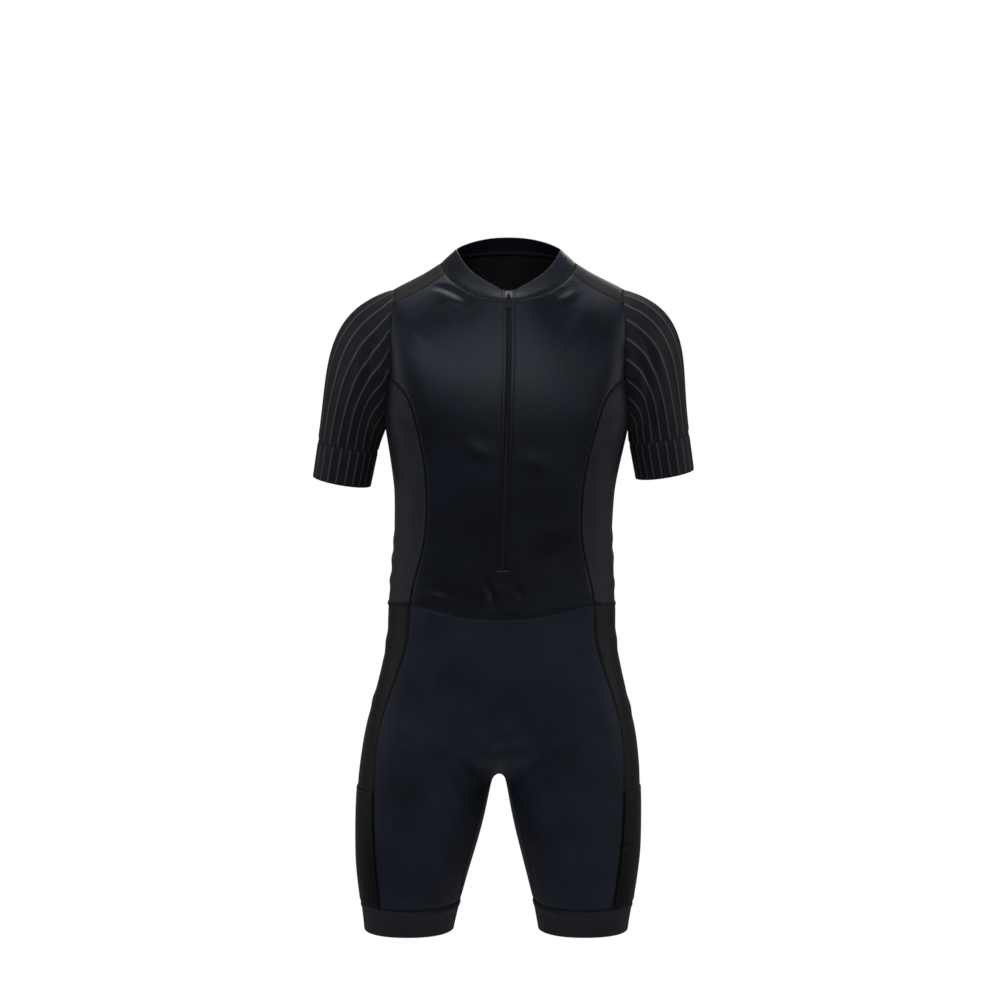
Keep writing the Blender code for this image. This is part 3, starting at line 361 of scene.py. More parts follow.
def pair_triangles(bm):
    """Turns the triangles back into the quads they were cut from, from the border inwards."""
    sides = {edge for edge in bm.edges if edge.is_boundary}
    free = set(bm.faces)
    shape = {edge: squareness(edge) for edge in bm.edges if len(edge.link_faces) == 2}

    def doubt(edge):
        rings = [[side for side in face.edges if side is not edge] for face in edge.link_faces]
        forced = any(all(side in sides for side in ring) for ring in rings)
        known_sides = sum(side in sides for ring in rings for side in ring)
        return shape[edge] - BORDER_HELPS * known_sides - FORCED_HELPS * forced

    waiting = [(doubt(edge), edge.index, edge) for edge in shape]
    heapq.heapify(waiting)
    diagonals = []
    while waiting:
        known, _, edge = heapq.heappop(waiting)
        if edge in sides or not all(face in free for face in edge.link_faces):
            continue
        if abs(doubt(edge) - known) > 1e-9:
            heapq.heappush(waiting, (doubt(edge), edge.index, edge))
            continue
        diagonals.append(edge)
        free.difference_update(edge.link_faces)
        for side in {side for face in edge.link_faces for side in face.edges} - {edge} - sides:
            sides.add(side)
            beyond = {other for face in side.link_faces if face in free for other in face.edges}
            for other in beyond - sides:
                heapq.heappush(waiting, (doubt(other), other.index, other))
    bmesh.ops.dissolve_edges(bm, edges=diagonals, use_verts=False)


def outer_side(node):
    """The outer side of a packed wall, as a bmesh of quads."""
    bm = opened(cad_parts[node].data)
    bmesh.ops.remove_doubles(bm, verts=bm.verts, dist=1e-6)

    def outwardness(group):
        return sum(f.calc_area() * f.normal.dot(away_from_body(f.calc_center_median())) for f in group)

    outer = max(regions(bm.faces), key=outwardness)
    bmesh.ops.delete(bm, geom=[f for f in bm.faces if f not in outer], context="FACES")
    pair_triangles(bm)
    return bm


CLOTH_NODES = [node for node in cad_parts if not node.startswith("zip")]
outer_sides = {node: outer_side(node) for node in CLOTH_NODES}
for node, bm in outer_sides.items():
    print(node, "quads:", len(bm.faces), "triangles left:", sum(len(f.verts) == 3 for f in bm.faces))

# %% [markdown]
# ## Tubes and their ribs
#
# The sleeves, cuffs and leg bands are tubes, so their points lie in rings. Walking from ring to
# ring gives every point its column and row. On the ribbed sleeves every second column is a rib:
# the walk notes which ones, as the attribute `rib`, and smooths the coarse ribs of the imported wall
# away. Finer ones are raised from the attribute later, once the sleeve has enough points for them.


# %% Walk the rings of a tube
def border_loops(bm):
    """The vertices of each border, in order."""
    left = {edge for edge in bm.edges if edge.is_boundary}
    loops = []
    while left:
        # A set has no order of its own, so the start is picked by its place
        edge = min(left, key=lambda e: [*e.verts[0].co, *e.verts[1].co])
        left.remove(edge)
        start, vert = edge.verts
        loop = [start, vert]
        while True:
            following = next((e for e in vert.link_edges if e in left), None)
            if following is None:
                break
            left.discard(following)
            vert = following.other_vert(vert)
            loop.append(vert)
        loops.append(loop[:-1] if loop[-1] is start else loop)
    return loops


def top_loop(bm):
    """The highest border."""
    return max(border_loops(bm), key=lambda loop: sum(v.co.z for v in loop) / len(loop))


def rings_of(bm):
    """Rings of vertices down a tube, each in step with the one above it."""
    rings = [top_loop(bm)]
    seen = set(rings[0])
    while True:
        ends = [[edge.other_vert(vert) for edge in vert.link_edges] for vert in rings[-1]]
        below = [next((vert for vert in found if vert not in seen), None) for found in ends]
        if None in below:
            return rings
        rings.append(below)
        seen.update(below)


def lay_tube_flat(bm, rings):
    """Writes metres round and along a tube into its UV map."""
    count = len(rings[0])
    column = {v: k for ring in rings for k, v in enumerate(ring)}
    row = {v: r for r, ring in enumerate(rings) for v in ring}
    middle = rings[len(rings) // 2]
    around = np.cumsum([0] + [(middle[k].co - middle[(k + 1) % count].co).length for k in range(count)])
    steps = [np.mean([(a.co - b.co).length for a, b in zip(*pair)]) for pair in zip(rings, rings[1:])]
    along = np.cumsum([0] + steps)
    flat = bm.loops.layers.uv["cloth"]
    for face in bm.faces:
        columns = [column[loop.vert] for loop in face.loops]
        wraps = max(columns) - min(columns) > 1
        for loop, k in zip(face.loops, columns):
            loop[flat].uv = (around[count if wraps and k == 0 else k], -along[row[loop.vert]])
    return around[-1], along[-1]


def find_ribs(bm, rings):
    """Marks every rib column with 1 in the attribute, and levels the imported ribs."""
    mark = bm.verts.layers.float["rib"]
    ring = rings[len(rings) // 2]
    middle = sum((v.co for v in ring), Vector()) / len(ring)
    spread = [sum((v.co - middle).length for v in ring[start::2]) for start in (0, 1)]
    ridge = 0 if spread[0] > spread[1] else 1
    for ring in rings:
        was = [v.co.copy() for v in ring]
        for k, v in enumerate(ring):
            v[mark] = float(k % 2 == ridge)
            v.co = (was[k - 1] + 2 * was[k] + was[(k + 1) % len(ring)]) / 4


laid_size = {}
TUBES = {"sleeve_left", "sleeve_right", "cuff_left", "cuff_right", "leg_band_left", "leg_band_right"}
for node in sorted(TUBES):
    bm = outer_sides[node]
    # New layers come first, because making one loses the vertices found so far
    bm.loops.layers.uv.new("cloth")
    bm.verts.layers.float.new("rib")
    rings = rings_of(bm)
    size = lay_tube_flat(bm, rings)
    if not node.startswith("leg_band"):
        find_ribs(bm, rings)
    laid_size[node] = size
    print(node, "rings:", len(rings), "round:", round(size[0], 3), "long:", round(size[1], 3))

# %% [markdown]
# ## Smooth panels, laid flat
#
# The panels that aren't tubes are laid flat with Blender's unwrap, which finds the flat shape that
# a curved sheet needs the least stretch for. That is how a cutter would see the panel. The map is
# then turned so that its second number runs up the body, and scaled to metres, so a knit can be
# drawn at its true size. Three levels of subdivision round off the corners of the quads and give the
# creases enough points. The ribbed tubes have many columns already, so two levels do for them.


# %% Unwrap and subdivide
def applied(obj):
    """The object's mesh with its modifiers, which are removed."""
    mesh = bpy.data.meshes.new_from_object(obj.evaluated_get(bpy.context.evaluated_depsgraph_get()))
    obj.modifiers.clear()
    old, obj.data = obj.data, mesh
    bpy.data.meshes.remove(old)
    mesh.name = obj.name
    return mesh


def unwrap(obj):
    """Lays a sheet flat, upright and in metres, in the UV map named cloth."""
    bpy.context.view_layer.objects.active = obj
    obj.select_set(True)
    obj.data.uv_layers.new(name="cloth")
    bpy.ops.object.mode_set(mode="EDIT")
    bpy.ops.mesh.select_all(action="SELECT")
    bpy.ops.uv.unwrap(method="ANGLE_BASED", margin=0.0)
    bpy.ops.object.mode_set(mode="OBJECT")
    obj.select_set(False)
    mesh = obj.data
    flat = np.zeros(2 * len(mesh.loops))
    mesh.uv_layers["cloth"].uv.foreach_get("vector", flat)
    flat = flat.reshape(-1, 2)
    height = np.array([mesh.vertices[loop.vertex_index].co.z for loop in mesh.loops])
    slope = np.linalg.lstsq(np.column_stack([flat, np.ones(len(flat))]), height, rcond=None)[0][:2]
    up = slope / np.linalg.norm(slope)
    flat = np.column_stack([flat @ (up[1], -up[0]), flat @ up])
    flat_area = 0.0
    for face in mesh.polygons:
        x, y = flat[list(face.loop_indices)].T
        flat_area += 0.5 * abs(np.dot(x, np.roll(y, -1)) - np.dot(y, np.roll(x, -1)))
    flat *= math.sqrt(sum(face.area for face in mesh.polygons) / flat_area)
    mesh.uv_layers["cloth"].uv.foreach_set("vector", flat.ravel())
    return np.ptp(flat, axis=0)


LEAST_FILLED = 0.3
flat_size = {}


def strip_size(mesh, area):
    """Length and width of a curved band, such as the collar, once it is pulled straight."""
    sides = {}
    for face in mesh.polygons:
        for ends in face.edge_keys:
            sides[ends] = sides.get(ends, 0) + 1
    rim = [ends for ends, count in sides.items() if count == 1]
    half = sum((mesh.vertices[a].co - mesh.vertices[b].co).length for a, b in rim) / 2
    root = math.sqrt(half * half - 4 * area)
    return (half + root) / 2, (half - root) / 2


def cloth_piece(node):
    """A smooth open sheet over a packed wall's outer side."""
    mesh = keep(outer_sides[node], bpy.data.meshes.new(f"{node}_cloth"))
    obj = make_object(f"{node}_cloth", mesh)
    area = sum(face.area for face in mesh.polygons)
    if node not in TUBES:
        laid_size[node] = unwrap(obj)
    width, length = (float(v) for v in laid_size[node])
    if area < LEAST_FILLED * width * length:
        width, length = strip_size(mesh, area)
    flat_size[node] = (width, length, min(area, width * length))
    smooth = obj.modifiers.new("smooth", "SUBSURF")
    smooth.levels = smooth.render_levels = 2 if node.startswith(("sleeve", "cuff")) else 3
    smooth.boundary_smooth = "PRESERVE_CORNERS"
    applied(obj)
    return obj


cloth = {node: cloth_piece(node) for node in CLOTH_NODES}

# %% [markdown]
# ## Set the sleeves into the armholes
#
# Subdivision rounds a border with many points less than one with few, so the finely ribbed sleeve
# no longer fits the armhole exactly. Each point of its top edge is moved onto the armhole's edge,
# and the cloth just below follows it, less and less with distance.


# %% Fit each sleeve's top edge to the armhole
ARMHOLE_PANELS = ("front_panel", "back_panel", "side_panel")
ARMHOLE_FROM_MIDDLE = 0.1
ARMHOLE_FOOT = -0.26
SLEEVE_EASE = 14 * MM


def border_points(obj):
    """Places of a sheet's border edges, as pairs of ends."""
    bm = opened(obj.data)
    ends = [tuple(vert.co.copy() for vert in edge.verts) for edge in bm.edges if edge.is_boundary]
    bm.free()
    return ends


def set_in(sleeve):
    """Moves a sleeve's top edge onto its armhole, and says how far at most."""
    side = 1 if sleeve.endswith("left") else -1
    edges = [
        ends
        for node, obj in cloth.items()
        if node.startswith(ARMHOLE_PANELS)
        for ends in border_points(obj)
        if side * ends[0].x > ARMHOLE_FROM_MIDDLE and ends[0].z > ARMHOLE_FOOT
    ]
    bm = opened(cloth[sleeve].data)
    top = top_loop(bm)
    moves = [nearest_on(edges, v.co) - v.co for v in top]
    tree = search_tree([v.co for v in top])
    for vert, (_, i, far) in [(v, tree.find(v.co)) for v in bm.verts]:
        vert.co += moves[i] * math.exp(-((far / SLEEVE_EASE) ** 2))
    keep(bm, cloth[sleeve].data)
    return max(move.length for move in moves)


for sleeve in ("sleeve_left", "sleeve_right"):
    print(sleeve, "moved at most", round(set_in(sleeve) / MM, 2), "mm")

# %% [markdown]
# ## Seams
#
# Two panels meet wherever their borders run side by side. A search tree over all border points
# finds each point's neighbour on another panel. Runs of points with the same neighbour are the
# seams, and runs with none are the hems and the zip's slot. Everything sewn later follows them.


# %% Find the seams and hems
SEAM_REACH = 2.4 * MM
SHORTEST_RUN = 4


def borders_of(node):
    """A sheet's borders as loops of (point, normal, direction into the sheet)."""
    bm = opened(cloth[node].data)
    bm.normal_update()
    loops = []
    for loop in border_loops(bm):
        stops = []
        for i, vert in enumerate(loop):
            along = (loop[(i + 1) % len(loop)].co - loop[i - 1].co).normalized()
            inwards = vert.normal.cross(along).normalized()
            middles = [face.calc_center_median() for face in vert.link_faces]
            if inwards.dot(sum(middles, Vector()) / len(middles) - vert.co) < 0:
                inwards = -inwards
            stops.append((vert.co.copy(), vert.normal.copy(), inwards))
        loops.append(stops)
    bm.free()
    return loops


def split_by_label(stops, labels):
    """Cuts a closed loop wherever the label changes, into (label, stops) without the short bits."""
    turn = next((i for i in range(len(stops)) if labels[i] != labels[i - 1]), 0)
    stops, labels = stops[turn:] + stops[:turn], labels[turn:] + labels[:turn]
    if turn == 0 and labels[0] == labels[-1]:
        stops, labels = stops + stops[:1], labels + labels[:1]
    cuts = [i for i in range(1, len(stops)) if labels[i] != labels[i - 1]]
    pieces = zip([0, *cuts], [*cuts, len(stops)])
    return [(labels[a], stops[a:b]) for a, b in pieces if b - a > SHORTEST_RUN]


def border_runs():
    """Seams as {(panel, its neighbour): runs} and hems as {panel: runs}."""
    borders = {node: borders_of(node) for node in cloth if not node.startswith("pocket")}
    marks = [(node, stop[0]) for node, loops in borders.items() for stops in loops for stop in stops]
    tree = search_tree([point for _, point in marks])

    def neighbour(node, point):
        near = sorted((far, marks[i][0]) for _, i, far in tree.find_range(point, SEAM_REACH))
        return next((other for _, other in near if other != node), None)

    seams, hems = {}, {}
    for node, loops in borders.items():
        for stops in loops:
            labels = [neighbour(node, stop[0]) for stop in stops]
            for other, run in split_by_label(stops, labels):
                if other is None:
                    hems.setdefault(node, []).append(run)
                elif node < other:
                    seams.setdefault((node, other), []).append(run)
    return seams, hems


seams, hems = border_runs()
print("seams:", len(seams))
print("hems:", {node: [len(run) for run in found] for node, found in hems.items()})

# %% [markdown]
# ## The zip's middle line
#
# The front panel and the collar leave a narrow slot for the zip. Both edges of the slot are read
# as functions of height, and the zip runs midway between them. The cloth is folded under along the
# slot, right beside the teeth, so its edges are drawn in towards the middle line.

# %% Find the middle line and draw the folded edges in
SLOT_REACH = 9 * MM
SLOT_HALF = 7 * MM
SLOT_TOP_X = 2.1 * MM
SLOT_TOP_REACH = 14.4 * MM
CHEST_Y = -0.05
FOLD_IN = 1.4 * MM
FOLD_FROM = 4 * MM
SLOT_FOOT_FADE = 8 * MM
ZIP_STEPS = 240
RIGHT = Vector((1, 0, 0))


def slot_edges():
    """Left and right edge points of the zip's slot, from its foot to the collar's top."""
    points = [stop[0] for node in ("front_panel", "collar") for run in hems[node] for stop in run]
    foot = min(points, key=lambda point: point.z)
    points = [p for p in points if p.y < CHEST_Y]
    top = max(p.z for p in points if abs(p.x - foot.x) < SLOT_TOP_REACH)
    sides = {-1: [], 1: []}
    for p in points:
        middle = foot.x + (SLOT_TOP_X - foot.x) * (p.z - foot.z) / (top - foot.z)
        if p.z <= top and MM < abs(p.x - middle) < SLOT_REACH:
            sides[1 if p.x > middle else -1].append(p)
    return {side: np.array(sorted(found, key=lambda p: p.z)) for side, found in sides.items()}


def zip_middle():
    """Points of the zip's middle line, evenly spaced, from its foot up."""
    edges = slot_edges()
    low = max(edge[0, 2] for edge in edges.values())
    high = min(edge[-1, 2] for edge in edges.values())
    heights = np.linspace(low, high, 4 * ZIP_STEPS)
    both = [[np.interp(heights, edge[:, 2], edge[:, k]) for k in (0, 1)] for edge in edges.values()]
    line = np.column_stack([*np.mean(both, axis=0), heights])
    run = np.concatenate([[0], np.cumsum(np.linalg.norm(np.diff(line, axis=0), axis=1))])
    even = np.linspace(0, run[-1], ZIP_STEPS)
    return np.column_stack([np.interp(even, run, line[:, k]) for k in range(3)])


zip_line = zip_middle()
zip_length = float(np.linalg.norm(np.diff(zip_line, axis=0), axis=1).sum())


def off_zip(point):
    """How far a point lies to the side of the zip's middle line."""
    return point.x - np.interp(point.z, zip_line[:, 2], zip_line[:, 0])


def zip_frame(at):
    """Place on the middle line at a share of its length, and the direction out of the chest."""
    step = at * (len(zip_line) - 1)
    i = min(max(int(step), 0), len(zip_line) - 2)
    a, b = Vector(zip_line[i]), Vector(zip_line[i + 1])
    return a.lerp(b, step - i), RIGHT.cross(b - a).normalized()


def draw_in(node):
    for vert in cloth[node].data.vertices:
        off = off_zip(vert.co)
        if vert.co.y < CHEST_Y and abs(off) < SLOT_REACH:
            pull = min(max((SLOT_REACH - abs(off)) / (SLOT_REACH - FOLD_FROM), 0), 1)
            pull *= min(max((vert.co.z - zip_line[0, 2]) / SLOT_FOOT_FADE, 0), 1)
            vert.co.x -= math.copysign(FOLD_IN * pull, off)


for node in ("front_panel", "collar"):
    draw_in(node)
ends = zip_line[0].round(4), zip_line[-1].round(4)
print("zip is", round(zip_length / MM, 1), "mm long, from", ends[0], "to", ends[1])

# %% [markdown]
# ## Creases
#
# Tight stretch cloth has few folds, and each has a cause: the arm pulls at the armpit, the waist
# bends, the crotch gathers. They are placed one by one, in uneven lengths and depths. A row of the
# table gives the side that the crease is drawn on, its two ends as seen from there, its depth and
# half width, and how far it bows. The ends are dropped onto the body by a ray, so a crease follows
# the cloth, and beside each hollow the cloth is pushed up a little. Sides that the photograph
# doesn't show get creases of the same kind.

# %% Table of creases
CREASES = {
    # view: ends seen from there (mm), depth, half width, bow (mm)
    "front": (
        (-99, -33, -61, -46, -1.3, 4, 3), (-90, -48, -52, -62, 0.7, 5, 3),
        (66, -52, 92, -38, 0.8, 5, -3), (104, -60, 84, -92, 0.5, 7, 3),
        (-128, -78, -104, -112, 0.6, 8, -4), (-118, -455, -82, -463, -1.6, 5, 2),
        (-112, -446, -70, -453, 0.7, 5, 2), (88, -452, 118, -447, -0.9, 5, -2),
        (-27, -426, -20, -448, -2.0, 4, 1), (10, -430, 22, -445, -0.8, 4, -1),
        (-146, -212, -120, -250, 1.0, 9, 4), (148, -206, 122, -240, 0.9, 8, -4),
        (12, -262, 60, -276, 0.6, 9, 4), (-62, -236, -14, -256, 0.8, 9, -5),
        (-30, -330, -86, -352, 0.6, 11, 5), (24, -368, 96, -360, 0.7, 12, 5),
        (176, -92, 196, -152, -2.2, 5, 5), (173, -126, 189, -176, -2.0, 5, 4),
        (180, -184, 198, -230, -1.6, 5, 3), (206, -112, 226, -196, -1.1, 7, 6),
        (-174, -96, -187, -154, -2.1, 5, -5), (-176, -134, -197, -180, -1.7, 5, -4),
        (-182, -192, -203, -248, -1.6, 6, -4), (-212, -118, -235, -192, -1.0, 7, -5),
        (-72, -660, -34, -684, -3.2, 7, 4), (14, -682, 50, -656, -2.9, 7, -4),
        (-46, -626, -12, -652, -2.0, 8, -4), (-18, -660, 18, -650, -2.2, 7, 3),
        (-2, -616, 6, -646, -1.5, 8, 2), (-96, -642, -54, -676, 1.1, 8, 4),
        (30, -672, 74, -634, 1.1, 8, -4), (-58, -600, -28, -622, 0.8, 9, 4),
        (-168, -622, -120, -634, 0.5, 6, 2), (112, -628, 156, -616, 0.6, 6, 3),
        (126, -790, 178, -786, -0.5, 3, 1), (118, -802, 160, -800, -0.4, 3, -1),
        (104, -740, 168, -736, -0.35, 3, 2), (-172, -772, -118, -778, -0.4, 3, 1),
        (-160, -816, -112, -822, -0.45, 4, 2), (-176, -724, -128, -730, -0.35, 3, -2),
    ),
    "back": (
        (-86, -398, 40, -404, -1.5, 6, 7), (-60, -418, 78, -424, -1.9, 6, 8),
        (-92, -440, 34, -444, -1.3, 5, 5), (-30, -380, 84, -376, -0.8, 7, 6),
        (70, -150, 120, -196, 0.9, 9, 5), (-74, -146, -126, -188, 1.0, 9, -5),
        (-60, -216, -112, -240, 0.7, 9, -4), (56, -232, 116, -214, 0.7, 9, 4),
        (-20, -60, -22, -168, -0.7, 10, 3), (30, -96, 26, -186, -0.6, 11, -3),
        (30, -680, 88, -664, -1.2, 6, -5), (-52, -664, -108, -684, -1.3, 6, 5),
        (40, -700, 120, -706, -0.8, 6, -5), (-66, -702, -140, -700, -0.7, 6, 5),
        (-20, -560, -14, -650, -0.9, 8, 2), (96, -780, 150, -788, -0.5, 4, 2),
        (-158, -802, -104, -796, -0.5, 4, 2), (178, -112, 194, -168, -1.1, 5, 4),
        (186, -176, 204, -222, -0.8, 5, 3), (-178, -118, -192, -178, -1.2, 5, -4),
        (-190, -192, -206, -240, -0.8, 5, -3),
    ),
    "left": (
        (-40, -380, 26, -372, -0.5, 7, 5), (-20, -404, 50, -398, -0.8, 6, 6),
        (-52, -432, 12, -440, -0.8, 6, 4), (-30, -520, 34, -508, 0.7, 8, 5),
        (-26, -612, 30, -600, 0.6, 8, 4),
    ),
    "right": (
        (-46, -372, 16, -384, -0.5, 7, 5), (-24, -408, 44, -400, -0.8, 6, 6),
        (-40, -436, 30, -430, -0.8, 6, 4), (-34, -524, 22, -512, 0.7, 8, 5),
        (-20, -590, 36, -604, 0.6, 8, 4),
    ),
}
print("creases:", {view: len(rows) for view, rows in CREASES.items()})

# %% [markdown]
# ## Drop the creases onto the body
#
# Each crease becomes a line of nine points on the cloth. A point of the cloth looks for the nearest
# place on the line: the crease is deepest there, has low shoulders beside it, and runs out towards
# its ends.

# %% Draw the creases
VIEWS = {"front": (0, 2, 1, -1), "back": (0, 2, 1, 1), "left": (1, 2, 0, 1), "right": (1, 2, 0, -1)}
CREASE_POINTS = 9
CREASE_REACH = 4
CREASE_FACING = 0.3
SHOULDER_OF_CREASE = 0.35
SHOULDER_AT = 2.2
CREASE_GAIN = 1.5


def body_tree(nodes):
    """A search tree over the faces of some sheets."""
    bm = bmesh.new()
    for node in nodes:
        bm.from_mesh(cloth[node].data)
    tree = BVHTree.FromBMesh(bm)
    bm.free()
    return tree


def crease_line(tree, view, a0, b0, a1, b1, bow):
    """Points of a crease on the body, and the body's normals there."""
    across, up, depth, sign = VIEWS[view]
    ends = np.array([[a0, b0], [a1, b1]]) * MM
    run = ends[1] - ends[0]
    side = np.array([-run[1], run[0]]) / np.linalg.norm(run)
    points, normals = [], []
    for t in np.linspace(0, 1, CREASE_POINTS):
        seen = ends[0] + run * t + side * bow * MM * 4 * t * (1 - t)
        start, ray = Vector(), Vector()
        start[across], start[up], start[depth], ray[depth] = *seen, 0.5 * sign, -sign
        place, normal, _, _ = tree.ray_cast(start, ray)
        if place is not None:
            points.append(place)
            normals.append(normal)
    return np.array(points), np.array(normals)


def crease_height(points, normals, lines):
    """How far the creases move each point along its normal."""
    height = np.zeros(len(points))
    for line, facing, depth, half_width in lines:
        start, run = line[:-1], line[1:] - line[:-1]
        length = np.linalg.norm(run, axis=1)
        near = np.linalg.norm(points - line.mean(axis=0), axis=1) < length.sum() + CREASE_REACH * half_width
        near &= normals @ facing > CREASE_FACING
        if not near.any():
            continue
        off = points[near][:, None] - start[None]
        share = np.clip(np.einsum("pij,ij->pi", off, run) / length**2, 0, 1)
        gap = np.linalg.norm(off - share[..., None] * run, axis=2)
        best = gap.argmin(axis=1)
        far = gap[np.arange(len(best)), best]
        along = (best + share[np.arange(len(best)), best]) / len(run)
        taper = np.sin(np.pi * np.clip(0.08 + 0.84 * along, 0, 1)) ** 1.3
        ratio = far / half_width
        taper *= np.exp(-((ratio * (along <= 0)) ** 2))
        section = np.exp(-(ratio**2)) - SHOULDER_OF_CREASE * np.exp(-((ratio - SHOULDER_AT) ** 2))
        height[near] += CREASE_GAIN * depth * taper * section
    return height


tree = body_tree([node for node in cloth if not node.startswith("pocket")])
crease_lines = []
for view, rows in CREASES.items():
    for a0, b0, a1, b1, depth, half_width, bow in rows:
        line, normals = crease_line(tree, view, a0, b0, a1, b1, bow)
        if len(line) > 2:
            crease_lines.append((line, normals.mean(axis=0), depth * MM, half_width * MM))
print("creases drawn:", len(crease_lines))

# %% [markdown]
# ## Shape the cloth
#
# Each sheet now gets its creases, a faint unevenness as wide as a hand, and a shallow dip along
# its seams, where the thread pulls the cloth in. Ribs rise from the sleeves where the attribute
# `rib` is near 1, and the leg bands have a low ridge under their seam. The attribute `near_seam`
# tells the finish how close a seam is, so that it can pucker the cloth there.

# %% Move the sheets' points
SEAM_DIP = 0.9 * MM
SEAM_DIP_WIDTH = 2.6 * MM
PUCKER_WIDTH = 9 * MM
UNEVEN = 0.5 * MM
UNEVEN_SIZE = 70 * MM
RIB_HEIGHT = 0.9 * MM
RIB_FROM = 0.55
RIB_FADE = 22 * MM
RIB_AT_ARMHOLE = 0.35
BAND_RIDGE = 1.2 * MM
BAND_RIDGE_BELOW = 7 * MM
BAND_RIDGE_WIDTH = 2.4 * MM


def smoothstep(low, high, value):
    t = np.clip((value - low) / (high - low), 0, 1)
    return t * t * (3 - 2 * t)


def distances(points, marks):
    """Distance from each point to the nearest of the marks."""
    search = search_tree(marks)
    return np.array([search.find(point)[2] for point in points])


def filled_in(run):
    """A run's points, with four more between each pair."""
    return [a[0].lerp(b[0], t / 5) for a, b in zip(run, run[1:]) for t in range(5)] + [run[-1][0]]


seam_marks = [point for found in seams.values() for run in found for point in filled_in(run)]
armhole_marks = [
    point
    for (node, other), found in seams.items()
    if other.startswith("sleeve") and not node.startswith("cuff")
    for run in found
    for point in filled_in(run)
]


def shape(node):
    """Moves a sheet's points along their normals, and says how far inwards and outwards (mm)."""
    mesh = cloth[node].data
    count = len(mesh.vertices)
    points, normals = np.zeros(3 * count), np.zeros(3 * count)
    mesh.vertices.foreach_get("co", points)
    mesh.vertex_normals.foreach_get("vector", normals)
    points, normals = points.reshape(-1, 3), normals.reshape(-1, 3)
    lift = crease_height(points, normals, crease_lines)
    lift += UNEVEN * np.array([noise.noise(Vector(point) / UNEVEN_SIZE) for point in points])
    to_seam = distances(points, seam_marks)
    dip = SEAM_DIP * np.exp(-((to_seam / SEAM_DIP_WIDTH) ** 2))
    if node.startswith("leg_band"):
        ridge = BAND_RIDGE * np.exp(-(((to_seam - BAND_RIDGE_BELOW) / BAND_RIDGE_WIDTH) ** 2))
        lift += ridge - 2 * dip
    elif not node.startswith("pocket"):
        lift -= dip
    if "rib" in mesh.attributes:
        rib = np.zeros(count)
        mesh.attributes["rib"].data.foreach_get("value", rib)
        rise = smoothstep(RIB_FROM, 1.0, rib)
        if node.startswith("sleeve"):
            away = smoothstep(0, RIB_FADE, distances(points, armhole_marks))
            rise *= RIB_AT_ARMHOLE + (1 - RIB_AT_ARMHOLE) * away
        lift += RIB_HEIGHT * rise
    near = mesh.attributes.new("near_seam", "FLOAT", "POINT")
    near.data.foreach_set("value", np.exp(-((to_seam / PUCKER_WIDTH) ** 2)).astype(np.float32))
    mesh.vertices.foreach_set("co", (points + normals * lift[:, None]).ravel())
    mesh.update()
    return float(lift.min() / MM), float(lift.max() / MM)


for node in cloth:
    low, high = shape(node)
    print(f"{node}: moved {low:.2f} to {high:.2f} mm")

# %% [markdown]
# ## Close the seams
#
# Two panels that face different ways, such as a sleeve and the chest, were moved along different
# normals, so their edges parted by up to a few millimetres. For each seam, the second panel's edge
# points are put back onto the first panel's edge.

# %% Put the edges back together
CLOSE_REACH = 3.5 * MM


def close_seams():
    """Puts each seam's second edge onto its first, and says how far at most."""
    borders = {node: border_points(obj) for node, obj in cloth.items()}
    partners = {}
    for a, b in seams:
        partners.setdefault(b, []).append(a)
    widest = 0.0
    for node, others in partners.items():
        edges = [ends for other in others for ends in borders[other]]
        middles = search_tree([(start + end) / 2 for start, end in edges])
        bm = opened(cloth[node].data)
        for vert in [v for v in bm.verts if v.is_boundary]:
            close = [edges[i] for _, i, _ in middles.find_n(vert.co, 4)]
            place = nearest_on(close, vert.co)
            if (place - vert.co).length < CLOSE_REACH:
                widest = max(widest, (place - vert.co).length)
                vert.co = place
        keep(bm, cloth[node].data)
    return widest


print("edges had parted by up to", round(close_seams() / MM, 2), "mm")

# %% [markdown]
# ## Thread
#
# A stitch is a grain of thread, thin at its ends, where it dives into the cloth. It is a sphere of
# six by four faces, stretched between two points. Real seams in stretch cloth are flat: a zigzag
# ties the two edges together, and a row of stitches runs beside it on each side. There are
# thousands of stitches, so each one has as few faces as it can.

# %% Lay a stitch and resample a run
bm = bmesh.new()
bmesh.ops.create_uvsphere(bm, u_segments=6, v_segments=4, radius=1.0)
grain = keep(bm, bpy.data.meshes.new("grain"))


def lay_stitch(bm, start, end, normal, radius):
    """One grain of thread from start to end, as a copy of the first one."""
    along = (end - start) / 2
    across = normal.cross(along).normalized() * radius
    up = along.cross(across).normalized() * radius
    place = Matrix.Translation((start + end) / 2) @ Matrix((across, up, along)).transposed().to_4x4()
    known = len(bm.verts)
    bm.from_mesh(grain)
    bm.verts.ensure_lookup_table()
    for vert in bm.verts[known:]:
        vert.co = place @ vert.co


def even_stops(run, pitch):
    """Stops along a run, pitch apart: point and direction into the panel."""
    rows = np.array([(*stop[0], *stop[2]) for stop in run])
    far = np.concatenate([[0], np.cumsum(np.linalg.norm(np.diff(rows[:, :3], axis=0), axis=1))])
    at = np.linspace(0, far[-1], max(int(far[-1] / pitch), 2) + 1)
    found = np.column_stack([np.interp(at, far, column) for column in rows.T])
    return [(Vector(stop[:3]), Vector(stop[3:])) for stop in found]


def on_cloth(point, raised):
    """The nearest place on the cloth, raised a little, and the cloth's normal there."""
    place, normal, _, _ = sewn_tree.find_nearest(point)
    return place + normal * raised, normal


def sew_row(bm, run, offset, pitch, radius, filled=0.82):
    """A straight row of stitches, offset inwards from a run along a border."""
    places = [point + inwards.normalized() * offset for point, inwards in even_stops(run, pitch)]
    stops = [on_cloth(place, 0.35 * radius) for place in places]
    for (a, normal), (b, _) in zip(stops, stops[1:]):
        gap = (b - a) * (1 - filled) / 2
        lay_stitch(bm, a + gap, b - gap, normal, radius)


